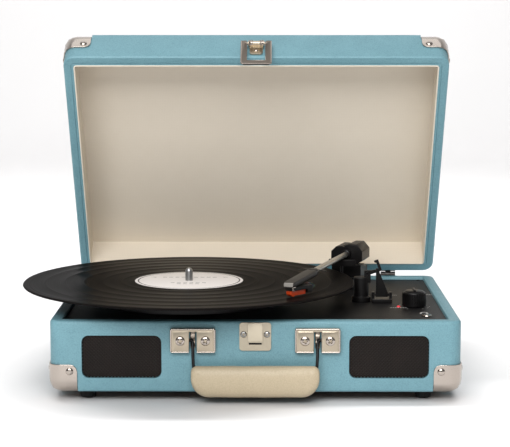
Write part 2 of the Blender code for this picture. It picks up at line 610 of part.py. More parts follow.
def tonearm(frame):
    base_top = DECK_TOP + ARM_BASE_HEIGHT
    bore = ARM_SHAFT_RADIUS + RUNNING
    sleeve = bore + ARM_SLEEVE_WALL
    base = [(bore, DECK_TOP - 10 * MM), (sleeve, DECK_TOP - 10 * MM), (sleeve, DECK_TOP + GAP),
            (ARM_BASE_RADIUS + 2.5 * MM, DECK_TOP + GAP), (ARM_BASE_RADIUS + 2.5 * MM, DECK_TOP + 3 * MM),
            (ARM_BASE_RADIUS, DECK_TOP + 4.5 * MM), (ARM_BASE_RADIUS, base_top), (bore, base_top)]
    piece("tonearm_base", turned(base, (ARM_X, ARM_Y)), "black_plastic", frame)

    swing = empty("tonearm_axis", (ARM_X, ARM_Y, 0), frame, (0, 0, ARM_AZIMUTH))
    yoke_low = base_top + 0.8 * MM
    step = ARM_Z - 13.5 * MM
    yoke_top = ARM_Z - 10.3 * MM
    side = [(-13 * MM, yoke_low), (13 * MM, yoke_low), (13 * MM, step), (3 * MM, step),
            (1 * MM, yoke_top), (-13 * MM, yoke_top)]
    yoke = piece("tonearm_yoke", prism(side, -14.5 * MM, 14.5 * MM, "X"), "black_plastic", swing)
    shaft = [(0, DECK_TOP - 12 * MM), (ARM_SHAFT_RADIUS, DECK_TOP - 12 * MM),
             (ARM_SHAFT_RADIUS, yoke_low + 3 * MM), (0, yoke_low + 3 * MM)]
    carve(yoke, turned(shaft), "UNION")
    post = 4 * MM
    carve(yoke, box(-post, post, -post, post, step - 2 * MM, ARM_Z + 3 * MM), "UNION")
    carve(yoke, rod((-11 * MM, 0, ARM_Z), (11 * MM, 0, ARM_Z), GIMBAL_PIN_RADIUS), "UNION")

    lift = empty("tonearm_lift_axis", (0, 0, ARM_Z), swing)
    below = (0, 0, -ARM_Z)
    low, high = ARM_Z - 9.3 * MM, ARM_Z + 9 * MM
    outline = [(-15.5 * MM, low + 2.5 * MM), (-13 * MM, low), (11 * MM, low), (15.5 * MM, low + 3.3 * MM),
               (15.5 * MM, high - 6 * MM), (10.5 * MM, high), (1 * MM, high), (-3 * MM, high - 2 * MM),
               (-10.5 * MM, high - 2 * MM), (-15.5 * MM, high - 6.8 * MM)]
    housing = prism(outline, -HOUSING_FRONT, HOUSING_BACK, "Y")
    housing = piece("tonearm_housing", housing, "black_plastic", lift, below)
    pocket = 7 * MM
    carve(housing, box(-pocket + 1 * MM, pocket - 1 * MM, -pocket, pocket, low - 2 * MM, ARM_Z + 5 * MM))
    carve(housing, rod((-11.8 * MM, 0, ARM_Z), (11.8 * MM, 0, ARM_Z), GIMBAL_PIN_RADIUS + RUNNING))

    tube = rod((0, -HOUSING_FRONT - GAP, ARM_Z), (0, -HEADSHELL_START, ARM_Z), TUBE_RADIUS, 12)
    piece("tonearm_tube", tube, "aluminium", lift, below)

    length = HEADSHELL_END - HEADSHELL_START
    shell = []
    for share, half, drop, rise in ((0.004, 3.2, 3.4, 2.6), (0.08, 4.6, 3.4, 2.8), (0.25, 5.4, 3.3, 2.6),
                                    (0.93, 5.2, 3.0, 1.9), (1.0, 4.4, 2.4, 1.0)):
        y = -HEADSHELL_START - share * length
        outline = rounded_rect(-half * MM, half * MM, ARM_Z - drop * MM, ARM_Z + rise * MM, 1.2 * MM, 2)
        shell.append([(x, y, z) for x, z in outline])
    piece("headshell", loft(shell), "black_plastic", lift, below)

    cartridge(lift)

    lifter_x, lifter_y = lifter_place()
    bar_low, bar_top = ARM_Z - 9 * MM, ARM_Z - TUBE_RADIUS - 0.5 * MM
    down = -pi / 2 + ARM_AZIMUTH
    spread = radians(25)
    bar = arc(0, 0, LIFTER_RADIUS - 1.5 * MM, down - spread, down + spread, 10)
    bar += arc(0, 0, LIFTER_RADIUS + 1.5 * MM, down + spread, down - spread, 10)
    bar = [(x + ARM_X, y + ARM_Y) for x, y in bar]
    lifter = piece("arm_lifter", prism(bar, bar_low, bar_top), "black_plastic", frame)
    stem = rod((lifter_x, lifter_y, DECK_BOTTOM - 10 * MM), (lifter_x, lifter_y, bar_low + 1 * MM),
               LIFTER_STEM_RADIUS)
    carve(lifter, stem, "UNION")


def cartridge(lift):
    """Cartridge and stylus, turned to the tonearm's offset angle; their own frame runs back from the tip."""
    mount = empty("cartridge_frame", (CARTRIDGE_X, CARTRIDGE_Y, 0), lift, (0, 0, -CARTRIDGE_OFFSET))
    down = (0, 0, -ARM_Z)
    tip = RECORD_TOP + GAP
    blade_top = tip + 4.9 * MM
    body_top = ARM_Z - 3.4 * MM - GAP
    side = [(1 * MM, blade_top + GAP), (20 * MM, blade_top + GAP), (20 * MM, tip + 1.7 * MM),
            (27 * MM, tip + 1.7 * MM), (27 * MM, body_top), (1 * MM, body_top)]
    piece("cartridge", prism(side, -4.6 * MM, 4.6 * MM, "X"), "black_plastic", mount, down)
    blade_low = tip + 0.7 * MM
    blade = [(0, blade_low + 1.5 * MM), (1.5 * MM, blade_low), (3 * MM, tip), (3.8 * MM, tip),
             (5.2 * MM, blade_low), (19.5 * MM, blade_low), (19.5 * MM, blade_top), (0, blade_top)]
    piece("stylus", prism(blade, -2.7 * MM, 2.7 * MM, "X"), "orange", mount, down)


def arm_rest(frame):
    top = DECK_TOP + REST_HEIGHT
    column = [(0, DECK_TOP + GAP), (REST_RADIUS + 2 * MM, DECK_TOP + GAP),
              (REST_RADIUS + 2 * MM, DECK_TOP + 4.5 * MM), (REST_RADIUS, DECK_TOP + 5.5 * MM),
              (REST_RADIUS, top - 0.8 * MM), (REST_RADIUS - 0.8 * MM, top), (0, top)]
    rest = piece("arm_rest", turned(column, (REST_X, REST_Y)), "black_plastic", frame)
    pivot = Vector((REST_X + REST_RADIUS - 1.5 * MM, REST_Y, top + 3.6 * MM))
    ear = box(pivot.x - 3 * MM, pivot.x + 3 * MM, pivot.y - 4.2 * MM, pivot.y - 1.6 * MM,
              top - 5 * MM, pivot.z + 3 * MM)
    carve(rest, ear, "UNION")
    bore = rod((pivot.x, pivot.y - 6 * MM, pivot.z), (pivot.x, pivot.y + 1 * MM, pivot.z), PIN_RADIUS + RUNNING)
    carve(rest, bore)

    axis = empty("rest_clip_axis", pivot, frame, (0, CLIP_OPEN, 0))
    over = ARM_Z + TUBE_RADIUS + 1 * MM - pivot.z
    reach = 8.5 * MM
    width = 2.6 * MM
    hook = [(-2.2 * MM, -2.2 * MM), (2.2 * MM, -2.2 * MM), (width, over + width), (-reach, over + width),
            (-reach, over - 1.5 * MM), (-reach + 1.5 * MM, over - 1.5 * MM), (-reach + 2.5 * MM, over),
            (0, over)]
    clip = piece("rest_clip", prism(hook, -1.3 * MM, 1.3 * MM, "Y"), "black_plastic", axis)
    carve(clip, rod((0, -4 * MM, 0), (0, -1 * MM, 0), PIN_RADIUS), "UNION")


def cue(frame):
    pivot = Vector((CUE_X, CUE_Y, DECK_TOP + CUE_PIVOT_RISE))
    half = 9.2 * MM
    plate = box(CUE_X - half, CUE_X + half, CUE_Y - 7 * MM, CUE_Y + 9 * MM, DECK_TOP + GAP, DECK_TOP + 3.5 * MM)
    bracket = piece("cue_bracket", plate, "black_plastic", frame)
    for side in (-1, 1):
        x = CUE_X + side * (half - 1.2 * MM)
        carve(bracket, box(x - 1.2 * MM, x + 1.2 * MM, CUE_Y - 3 * MM, CUE_Y + 3 * MM,
                           DECK_TOP + 2 * MM, pivot.z + 2.6 * MM), "UNION")
    carve(bracket, rod((CUE_X - half - 2 * MM, CUE_Y, pivot.z), (CUE_X + half + 2 * MM, CUE_Y, pivot.z),
                       PIN_RADIUS + RUNNING))

    axis = empty("cue_lever_axis", pivot, frame)
    blade = [(-5.5 * MM, -2 * MM), (5.5 * MM, -2 * MM), (5.5 * MM, 2 * MM), (-3.6 * MM, 24.5 * MM),
             (-5.5 * MM, 24.5 * MM)]
    lever = piece("cue_lever", prism(blade, -1.3 * MM, 1.3 * MM, "Y"), "black_plastic", axis)
    carve(lever, rod((-half + 0.4 * MM, 0, 0), (half - 0.4 * MM, 0, 0), PIN_RADIUS), "UNION")


# ---------------------------------------------------------------- controls and electrics

def controls(frame):
    knob_axis = empty("volume_axis", (KNOB_X, KNOB_Y, 0), frame)
    knob_low = DECK_TOP + 0.6 * MM
    knob_top = DECK_TOP + KNOB_HEIGHT
    shaft = KNOB_SHAFT_RADIUS
    knob = [(0, DECK_TOP - 9 * MM), (shaft, DECK_TOP - 9 * MM), (shaft, knob_low), (KNOB_RADIUS, knob_low),
            (KNOB_RADIUS - 0.3 * MM, knob_top - 1.2 * MM), (KNOB_RADIUS - 1.5 * MM, knob_top), (0, knob_top)]
    piece("volume_knob", turned(knob), "black_plastic", knob_axis)
    body_top = DECK_BOTTOM - GAP
    body = [(0, body_top - 12 * MM), (8.5 * MM, body_top - 12 * MM), (8.5 * MM, body_top),
            (shaft + RUNNING, body_top), (shaft + RUNNING, DECK_TOP - 10 * MM), (0, DECK_TOP - 10 * MM)]
    piece("volume_control", turned(body, (KNOB_X, KNOB_Y), 20), "steel", frame)

    led = [(0, DECK_TOP - 5 * MM), (LED_RADIUS, DECK_TOP - 5 * MM), (LED_RADIUS, DECK_TOP + 0.4 * MM),
           (LED_RADIUS - 0.5 * MM, DECK_TOP + 1.1 * MM), (0, DECK_TOP + 1.4 * MM)]
    piece("power_led", turned(led, (LED_X, LED_Y), 16), "red_lens", frame)

    bore, nut = JACK_RADIUS - 1.4 * MM, JACK_RADIUS + 1.1 * MM
    jack = [(bore, DECK_TOP - 12 * MM), (JACK_RADIUS, DECK_TOP - 12 * MM), (JACK_RADIUS, DECK_TOP + GAP),
            (nut, DECK_TOP + GAP), (nut - 0.4 * MM, DECK_TOP + 1.3 * MM), (bore, DECK_TOP + 1.3 * MM)]
    piece("headphone_jack", turned(jack, (JACK_X, JACK_Y), 20), "nickel", frame)

    selector_axis = empty("selector_axis", (SELECTOR_X, SELECTOR_Y, DECK_TOP), frame)
    stem, button, top = SELECTOR_STEM, (5 * MM, 3.5 * MM), (4.4 * MM, 3 * MM)
    stations = ((stem, -6 * MM), (stem, 0.4 * MM), (button, 0.4 * MM), (top, 4.6 * MM))
    rings = [[(sx * wide, sy * deep, z) for sx, sy in ((-1, -1), (1, -1), (1, 1), (-1, 1))]
             for (wide, deep), z in stations]
    piece("speed_selector", loft(rings), "black_plastic", selector_axis)

    floor = CASE_BOTTOM + FLOOR_THICKNESS + GAP
    board = box(SOCKETS_X - 45 * MM, SOCKETS_X + 65 * MM, CASE_DEPTH - 80 * MM, CASE_DEPTH - 25 * MM,
                floor, floor + BOARD_THICKNESS)
    board = piece("circuit_board", board, "board_green", frame)
    parts = bmesh.new()
    for x, y, radius, height in ((-30, -60, 6, 16), (-12, -62, 5, 12), (30, -40, 4, 10), (48, -60, 4, 10)):
        prism(circle(SOCKETS_X + x * MM, CASE_DEPTH + y * MM, radius * MM, 12), floor + BOARD_THICKNESS / 2,
              floor + height * MM, into=parts)
    box(SOCKETS_X, SOCKETS_X + 14 * MM, CASE_DEPTH - 65 * MM, CASE_DEPTH - 45 * MM,
        floor + BOARD_THICKNESS / 2, floor + 12 * MM, into=parts)
    carve(board, parts, "UNION")

    back = CASE_DEPTH + GAP
    plate = prism(rounded_rect(SOCKETS_X - 26 * MM, SOCKETS_X + 26 * MM, SPEAKER_Z - 8 * MM,
                               SPEAKER_Z + 8 * MM, 2 * MM, 2), back, back + 1.5 * MM, "Y")
    sockets = piece("rear_sockets", plate, "black_plastic", frame)
    barrels, bores = bmesh.new(), bmesh.new()
    for x, radius, bore, length in ((-14, 4.2, 1.7, 8), (0, 4.2, 1.7, 8), (15, 4.6, 3.0, 3)):
        x = SOCKETS_X + x * MM
        rod((x, back + 0.5 * MM, SPEAKER_Z), (x, back + length * MM, SPEAKER_Z), radius * MM, 16, into=barrels)
        rod((x, back - 5 * MM, SPEAKER_Z), (x, back + 12 * MM, SPEAKER_Z), bore * MM, 12, into=bores)
    carve(sockets, barrels, "UNION")
    carve(sockets, bores)


# ---------------------------------------------------------------- handle and latch

def grip_section(x):
    """Lower edge, upper edge and half thickness of the grip at a distance from its middle."""
    low = GRIP_TOP - GRIP_HEIGHT
    high = GRIP_TOP
    into = abs(x) - (GRIP_HALF_WIDTH - GRIP_LOWER_ROUND)
    if into > 0:
        low += GRIP_LOWER_ROUND * (1 - sqrt(max(0, 1 - (into / GRIP_LOWER_ROUND) ** 2)))
    into = abs(x) - (GRIP_HALF_WIDTH - GRIP_UPPER_ROUND)
    if into > 0:
        high -= GRIP_UPPER_ROUND * (1 - sqrt(max(0, 1 - (into / GRIP_UPPER_ROUND) ** 2)))
    return low, high, GRIP_THICKNESS / 2 * sqrt((high - low) / GRIP_HEIGHT)


def bail_path():
    """Wire from the left bracket through the grip to the right bracket."""
    low = GRIP_TOP - 0.6 * GRIP_HEIGHT
    entry_x = GRIP_HALF_WIDTH - 2.2 * MM
    half = [(BRACKET_X + 7 * MM, WIRE_PIVOT_Y, HANDLE_PIVOT_Z), (BRACKET_X + 2 * MM, WIRE_PIVOT_Y, HANDLE_PIVOT_Z),
            (BRACKET_X + 0.1 * MM, WIRE_PIVOT_Y - 1.2 * MM, HANDLE_PIVOT_Z - 2 * MM),
            (BRACKET_X - 0.2 * MM, GRIP_Y * 0.66, HANDLE_PIVOT_Z - 12 * MM),
            (entry_x, GRIP_Y * 0.97, GRIP_TOP - 1 * MM), (entry_x - 1.2 * MM, GRIP_Y, GRIP_TOP - 8 * MM),
            (entry_x - 7 * MM, GRIP_Y, low + 1.6 * MM), (entry_x - 16 * MM, GRIP_Y, low)]
    return smooth_path(half + [(-x, y, z) for x, y, z in reversed(half)], 3)


def handle(frame):
    for side, word in ((-1, "left"), (1, "right")):
        x = side * BRACKET_X
        z0, z1 = HANDLE_PIVOT_Z - BRACKET_HEIGHT / 2, HANDLE_PIVOT_Z + BRACKET_HEIGHT / 2
        outline = rounded_rect(x - BRACKET_WIDTH / 2, x + BRACKET_WIDTH / 2, z0, z1, 1.5 * MM, 2)
        plate = prism(outline, -GAP - BRACKET_THICKNESS, -GAP, "Y")
        bracket = piece(f"handle_bracket_{word}", plate, "nickel", frame)
        slot = 3.2 * MM
        carve(bracket, box(x - slot, x + slot, -10 * MM, 5 * MM, z0 - 2 * MM, HANDLE_PIVOT_Z + 7.5 * MM))
        ends = sorted((x - side * 2 * MM, x + side * 8 * MM))
        carve(bracket, box(*ends, WIRE_PIVOT_Y - WIRE_RADIUS - GAP, 5 * MM,
                           HANDLE_PIVOT_Z - WIRE_RADIUS - GAP, HANDLE_PIVOT_Z + WIRE_RADIUS + GAP))

    axis = empty("handle_axis", (0, WIRE_PIVOT_Y, HANDLE_PIVOT_Z), frame)
    offset = (0, -WIRE_PIVOT_Y, -HANDLE_PIVOT_Z)
    piece("handle_bail", sweep(bail_path(), WIRE_RADIUS), "black_wire", axis, offset)

    near_end = [GRIP_HALF_WIDTH - GRIP_LOWER_ROUND * (1 - sin(radians(a))) for a in (0, 22, 40, 55, 68, 80)]
    half = [0] + near_end + [GRIP_HALF_WIDTH - 0.02 * MM]
    rings = []
    for x in [-x for x in half[:0:-1]] + half:
        low, high, thick = grip_section(x)
        middle, tall = (low + high) / 2, (high - low) / 2
        ring = []
        for i in range(16):
            a = 2 * pi * i / 16
            bulge = 0.72       # between an ellipse and a rounded slab
            ring.append((x, GRIP_Y + thick * abs(cos(a)) ** bulge * (1 if cos(a) > 0 else -1),
                         middle + tall * abs(sin(a)) ** bulge * (1 if sin(a) > 0 else -1)))
        rings.append(ring)
    grip = piece("handle_grip", loft(rings), "leatherette", axis, offset)
    carve(grip, sweep(bail_path(), WIRE_RADIUS + GAP))


def latch(frame, lid):
    top = RIM_TOP - 1 * MM
    bottom = top - LATCH_HEIGHT
    half = LATCH_WIDTH / 2
    outline = rounded_rect(-half, half, bottom, top, 2.5 * MM, 3)
    catch = piece("latch_catch", prism(outline, -GAP - 1.2 * MM, -GAP, "Y"), "nickel", frame)
    tongue_low = bottom + 7.4 * MM
    wedge = [(-0.8 * MM, tongue_low), (-4.3 * MM, tongue_low), (-4.3 * MM, tongue_low + 1.4 * MM),
             (-2.2 * MM, top - 0.3 * MM), (-0.8 * MM, top - 0.3 * MM)]
    carve(catch, prism(wedge, -TONGUE_WIDTH / 2, TONGUE_WIDTH / 2, "X"), "UNION")
    slot = TONGUE_WIDTH / 2 - 0.8 * MM
    carve(catch, box(-slot, slot, -3 * MM, 3 * MM, tongue_low - 2.2 * MM, tongue_low - 0.2 * MM))

    offset = (0, -HINGE_Y, -HINGE_Z)
    pivot_z = LID_RIM + LOOP_PIVOT_RISE
    inner = LOOP_WIDTH / 2 - LOOP_LEG
    plate = prism(rounded_rect(-6 * MM, 6 * MM, LID_RIM + 3 * MM, LID_RIM + 25 * MM, 2.5 * MM, 3),
                  -GAP - 1.2 * MM, -GAP, "Y")
    plate = piece("lid_latch_plate", plate, "nickel", lid, offset)
    barrel = 2.4 * MM
    half_barrel = inner - 1 * MM
    carve(plate, box(-half_barrel + 1 * MM, half_barrel - 1 * MM, LOOP_Y, -GAP - 0.6 * MM,
                     pivot_z - 1.6 * MM, pivot_z + 1.6 * MM), "UNION")
    carve(plate, rod((-half_barrel, LOOP_Y, pivot_z), (half_barrel, LOOP_Y, pivot_z), barrel), "UNION")
    carve(plate, rod((-half_barrel - 2 * MM, LOOP_Y, pivot_z), (half_barrel + 2 * MM, LOOP_Y, pivot_z),
                     PIN_RADIUS + RUNNING))

    axis = empty("latch_axis", (0, LOOP_Y - HINGE_Y, pivot_z - HINGE_Z), lid)
    outer = LOOP_WIDTH / 2
    rise, drop, bar = 3.6 * MM, -(LOOP_PIVOT_RISE + 20 * MM), 5.5 * MM
    cut = 2.5 * MM
    outline = [(outer, rise), (inner, rise), (inner, drop + bar), (-inner, drop + bar), (-inner, rise),
               (-outer, rise), (-outer, drop + cut), (-outer + cut, drop), (outer - cut, drop),
               (outer, drop + cut)]
    loop = piece("latch_loop", prism(outline, -0.75 * MM, 0.75 * MM, "Y"), "nickel", axis)
    carve(loop, rod((-inner - 2 * MM, 0, 0), (inner + 2 * MM, 0, 0), PIN_RADIUS), "UNION")


# ---------------------------------------------------------------- lid and hinges

def lid_unit(frame):
    lid = empty("lid_axis", (0, HINGE_Y, HINGE_Z), frame, (-LID_OPEN, 0, 0))
    offset = (0, -HINGE_Y, -HINGE_Z)
    top = LID_RIM + LID_DEPTH
    soft = 1.2 * MM
    rings = [(LID_WALL, top - LID_PANEL), (LID_WALL, LID_RIM + soft), (LID_WALL - soft, LID_RIM)]
    rings += [(soft, LID_RIM), (0, LID_RIM + soft)]
    rings += quarter(EDGE_RADIUS, top - EDGE_RADIUS, EDGE_RADIUS, pi)
    shell = piece("lid_shell", loft([case_ring(d, z) for d, z in rings]), "vinyl", lid, offset)
    ball_corners(shell, LID_RIM, top, False)

    outer = LID_WALL + GAP
    inner = outer + LINER_THICKNESS
    ceiling = top - LID_PANEL - GAP
    rings = [(outer, ceiling), (outer, LID_RIM + 0.8 * MM), (inner, LID_RIM + 0.8 * MM),
             (inner, ceiling - LINER_THICKNESS)]
    rings = [case_ring(d, z) for d, z in rings]
    piece("lid_liner", loft(rings), "lining", lid, offset)

    for side, left_right in ((-1, "left"), (1, "right")):
        for back, front_rear in ((False, "front"), (True, "rear")):
            corner_cap(f"lid_cap_{front_rear}_{left_right}", lid, offset, side, back, top, -1)
        hinge(frame, lid, offset, side * HINGE_X, left_right)
    return lid


def hinge(frame, lid, offset, x, word):
    half = HINGE_WIDTH / 2
    middle = 2.9 * MM            # half width of the lid's knuckle
    face = CASE_DEPTH + GAP
    clear = sqrt((KNUCKLE_RADIUS + 0.4 * MM) ** 2 - (HINGE_OFFSET - GAP - HINGE_LEAF_THICKNESS) ** 2)
    leaf = box(x - half, x + half, face, face + HINGE_LEAF_THICKNESS,
               HINGE_Z - clear - HINGE_LEAF_HEIGHT, HINGE_Z - clear)
    base_leaf = piece(f"hinge_base_{word}", leaf, "steel", frame)
    knuckles = bmesh.new()
    for inner, outer in ((x - half, x - middle - GAP), (x + middle + GAP, x + half)):
        rod((inner, HINGE_Y, HINGE_Z), (outer, HINGE_Y, HINGE_Z), KNUCKLE_RADIUS, 16, into=knuckles)
    carve(base_leaf, knuckles, "UNION")
    arms = bmesh.new()
    for inner, outer in ((x - half, x - middle - GAP), (x + middle + GAP, x + half)):
        box(inner + 0.2 * MM, outer - 0.2 * MM, face, HINGE_Y, HINGE_Z - clear - 1 * MM, HINGE_Z - 0.4 * MM,
            into=arms)
    carve(base_leaf, arms, "UNION")
    carve(base_leaf, rod((x - half + 1 * MM, HINGE_Y, HINGE_Z), (x + half - 1 * MM, HINGE_Y, HINGE_Z),
                         HINGE_PIN_RADIUS), "UNION")

    leaf = box(x - half, x + half, face, face + HINGE_LEAF_THICKNESS,
               HINGE_Z + clear, HINGE_Z + clear + HINGE_LEAF_HEIGHT)
    lid_leaf = piece(f"hinge_lid_{word}", leaf, "steel", lid, offset)
    carve(lid_leaf, rod((x - middle, HINGE_Y, HINGE_Z), (x + middle, HINGE_Y, HINGE_Z), KNUCKLE_RADIUS, 16),
          "UNION")
    carve(lid_leaf, box(x - middle + 0.2 * MM, x + middle - 0.2 * MM, face, HINGE_Y, HINGE_Z + 0.4 * MM,
                        HINGE_Z + clear + 1 * MM), "UNION")
    carve(lid_leaf, rod((x - half, HINGE_Y, HINGE_Z), (x + half, HINGE_Y, HINGE_Z),
                        HINGE_PIN_RADIUS + RUNNING))


# ---------------------------------------------------------------- whole object

def centre_on_origin(frame):
    """Put the middle of the object's underside on the world origin."""
    bpy.context.view_layer.update()
    graph = bpy.context.evaluated_depsgraph_get()
    low, high = Vector((1, 1, 1)) * 1e9, Vector((1, 1, 1)) * -1e9
    for obj in bpy.data.objects:
        if obj.type != "MESH" or obj.hide_render:
            continue
        shown = obj.evaluated_get(graph)
        for vertex in shown.data.vertices:
            point = shown.matrix_world @ vertex.co
            low = Vector(map(min, low, point))
            high = Vector(map(max, high, point))
    frame.location = (-(low.x + high.x) / 2, -(low.y + high.y) / 2, -low.z)
    bpy.context.view_layer.update()


def main():
    clear_scene()
    frame = empty("case_frame")
    base_case(frame)
    speakers(frame)
    deck(frame)
    platter_unit(frame)
    drive(frame)
    tonearm(frame)
    arm_rest(frame)
    cue(frame)
    controls(frame)
    handle(frame)
    lid = lid_unit(frame)
    latch(frame, lid)
    centre_on_origin(frame)


main()
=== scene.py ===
import json
from math import cos, pi, radians, sin, sqrt

import bmesh
import bpy
from mathutils import Matrix, Vector, noise


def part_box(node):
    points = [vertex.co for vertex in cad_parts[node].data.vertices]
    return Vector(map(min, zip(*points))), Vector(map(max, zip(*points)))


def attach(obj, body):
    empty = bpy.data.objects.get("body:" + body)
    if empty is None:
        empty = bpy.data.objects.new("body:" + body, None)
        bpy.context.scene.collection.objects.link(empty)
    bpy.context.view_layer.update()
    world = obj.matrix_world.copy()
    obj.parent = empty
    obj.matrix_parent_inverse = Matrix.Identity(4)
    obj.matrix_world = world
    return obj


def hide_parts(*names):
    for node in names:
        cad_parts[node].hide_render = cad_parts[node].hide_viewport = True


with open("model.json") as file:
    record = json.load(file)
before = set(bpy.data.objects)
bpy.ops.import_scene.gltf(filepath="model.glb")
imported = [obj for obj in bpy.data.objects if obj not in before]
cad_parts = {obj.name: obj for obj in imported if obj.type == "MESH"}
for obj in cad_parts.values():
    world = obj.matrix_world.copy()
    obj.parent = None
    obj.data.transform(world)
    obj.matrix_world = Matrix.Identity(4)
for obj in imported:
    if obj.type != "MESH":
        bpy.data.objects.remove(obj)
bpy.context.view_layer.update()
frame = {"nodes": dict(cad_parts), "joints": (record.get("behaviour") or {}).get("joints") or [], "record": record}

nodes = frame["nodes"]
record = frame["record"]
print("frame loaded:", len(nodes), "CAD nodes")

mm = 0.001

# places that the rest is worked out from; lengths below are in millimetres, like everything drawn here
caseLow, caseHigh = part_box("base_case")
caseOrigin = Vector(((caseLow.x + caseHigh.x) / 2, caseLow.y, 0))
caseWidth = (caseHigh.x - caseLow.x) / mm
caseDepth = (caseHigh.y - caseLow.y) / mm
caseBottom = caseLow.z / mm
rimTop = caseHigh.z / mm
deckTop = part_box("deck_plate")[1].z / mm
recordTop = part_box("record")[1].z / mm
lidGap = 0.3                                           # between the two rims when the lid is shut
lidRim = rimTop + lidGap

bodyOf = {node: body for body, members in record["behaviour"]["bodies"].items() for node in members}
jointOf = {joint["name"]: joint for joint in frame["joints"]}


# frames: what is drawn in one of these stays put on its piece

def jointPlace(name):
    return Vector(jointOf[name]["pos_m"])


lidOpen = radians(58.4)                       # the lid's lean back from shut, at its stop
armTurn = radians(-17.5)                      # the tonearm points left of straight forward
cartridgeTurn = radians(-24)                  # offset of the cartridge against the tube

caseFrame = Matrix.Translation(caseOrigin)
hingePlace = jointPlace("lid_hinge")
lidFrame = (Matrix.Translation(hingePlace) @ Matrix.Rotation(-lidOpen, 4, "X")
            @ Matrix.Translation(-hingePlace) @ caseFrame)
armPivot = jointPlace("tonearm_swing")
armFrame = Matrix.Translation((armPivot.x, armPivot.y, 0)) @ Matrix.Rotation(armTurn, 4, "Z")
armHeight = jointPlace("tonearm_lift").z / mm
turntableCentre = jointPlace("platter_spin")
turntableFrame = Matrix.Translation((turntableCentre.x, turntableCentre.y, 0))
knobPlace = jointPlace("volume_turn")
knobFrame = Matrix.Translation((knobPlace.x, knobPlace.y, 0))


# node helper and colours

def hexColour(text):                                   # sRGB hex to linear
    parts = [int(text[i:i + 2], 16) / 255 for i in (1, 3, 5)]
    return (*[p / 12.92 if p <= 0.04045 else ((p + 0.055) / 1.055) ** 2.4 for p in parts], 1)


def perMm(size):                                       # pattern scale for features of this many millimetres
    return 1 / (size * mm)


def addNode(tree, kind, settings=None, links=None, feeds=None):
    # settings go to the node's own values or its sockets; feeds is the socket that its result goes to
    made = tree.nodes.new("ShaderNode" + kind)
    later = {}
    for key, value in (settings or {}).items():
        if isinstance(key, str) and hasattr(made, key):
            setattr(made, key, value)
        else:
            later[key] = value
    for key, value in later.items():
        made.inputs[key].default_value = value
    for key, source in (links or {}).items():
        tree.links.new(source, made.inputs[key])
    if feeds:
        tree.links.new(next(out for out in made.outputs if out.enabled), feeds)
    return made


def startMaterial(name, colour, roughness, metallic=0.0, ior=1.5, **fixed):
    made = bpy.data.materials.new(name)
    made.use_nodes = True
    tree = made.node_tree
    shader = tree.nodes["Principled BSDF"]
    shader.inputs["Base Color"].default_value = hexColour(colour)
    shader.inputs["Roughness"].default_value = roughness
    shader.inputs["Metallic"].default_value = metallic
    shader.inputs["IOR"].default_value = ior
    for key, value in fixed.items():
        shader.inputs[key].default_value = value
    return made, tree, shader, addNode(tree, "TexCoord").outputs["Object"]


# materials, each named for what the real one is and how its surface was made

def leathercloth(name, dark, light, grainMm, depthMm, roughness):
    # PVC on cotton, embossed by a roller: rounded pebbles with fine creases between, softly glossy on top; the
    # creases are painted darker as shade
    made, tree, shader, place = startMaterial(name, light, roughness, ior=1.53)
    wavy = addNode(tree, "TexNoise", {"Scale": perMm(6), "Detail": 2.0}, {"Vector": place})
    bend = addNode(tree, "VectorMath", {"operation": "SCALE", "Scale": grainMm * mm * 1.2},
                   {0: wavy.outputs["Color"]})
    moved = addNode(tree, "VectorMath", {"operation": "ADD"}, {0: place, 1: bend.outputs[0]})
    pebble = addNode(tree, "TexVoronoi", {"feature": "SMOOTH_F1", "Scale": perMm(grainMm), "Smoothness": 0.6},
                     {"Vector": moved.outputs[0]}).outputs["Distance"]
    patchy = addNode(tree, "TexNoise", {"Scale": perMm(22), "Detail": 5.0, "Roughness": 0.65},
                     {"Vector": place})
    # painted shade: the colour darkens towards the creases between pebbles; the patchy noise is random tone
    crease = addNode(tree, "MapRange", {"To Min": 0.0, "To Max": 0.55}, {"Value": pebble})
    tone = addNode(tree, "Math", {"operation": "MULTIPLY_ADD", 1: 0.5},
                   {0: patchy.outputs["Fac"], 2: crease.outputs["Result"]})
    addNode(tree, "Mix", {"data_type": "RGBA", 6: hexColour(light), 7: hexColour(dark)},
            {0: tone.outputs[0]}, shader.inputs["Base Color"])
    addNode(tree, "MapRange", {"To Min": roughness - 0.07, "To Max": roughness + 0.16}, {"Value": pebble},
            shader.inputs["Roughness"])
    raised = addNode(tree, "Math", {"operation": "SUBTRACT", 0: 1.0}, {1: pebble})
    addNode(tree, "Bump", {"Strength": 1.0, "Distance": depthMm * mm}, {"Height": raised.outputs[0]},
            shader.inputs["Normal"])
    return made


def wovenPaper(name, dark, light, threadMm):
    # lining of woven-look paper: two crossing threads pressed into it, dull and a little uneven in tone
    made, tree, shader, place = startMaterial(name, light, 0.88, ior=1.46)
    across, along = [
        addNode(tree, "TexWave", {"wave_type": "BANDS", "bands_direction": way, "Distortion": crooked,
                                  "Scale": perMm(threadMm) / 6.28, "Detail": 2.0},
                {"Vector": place}).outputs["Fac"]
        for way, crooked in (("X", 1.2), ("Z", 1.5))]
    weave = addNode(tree, "Math", {"operation": "MULTIPLY"}, {0: across, 1: along}).outputs[0]
    patchy = addNode(tree, "TexNoise", {"Scale": perMm(35), "Detail": 6.0, "Roughness": 0.7},
                     {"Vector": place})
    stained = addNode(tree, "MapRange", {"To Min": 0.1, "To Max": 0.6}, {"Value": patchy.outputs["Fac"]})
    tone = addNode(tree, "Math", {"operation": "MULTIPLY_ADD", 1: 0.22},
                   {0: weave, 2: stained.outputs["Result"]})
    addNode(tree, "Mix", {"data_type": "RGBA", 6: hexColour(light), 7: hexColour(dark)},
            {0: tone.outputs[0]}, shader.inputs["Base Color"])
    addNode(tree, "Bump", {"Strength": 0.5, "Distance": 0.05 * mm}, {"Height": weave},
            shader.inputs["Normal"])
    return made


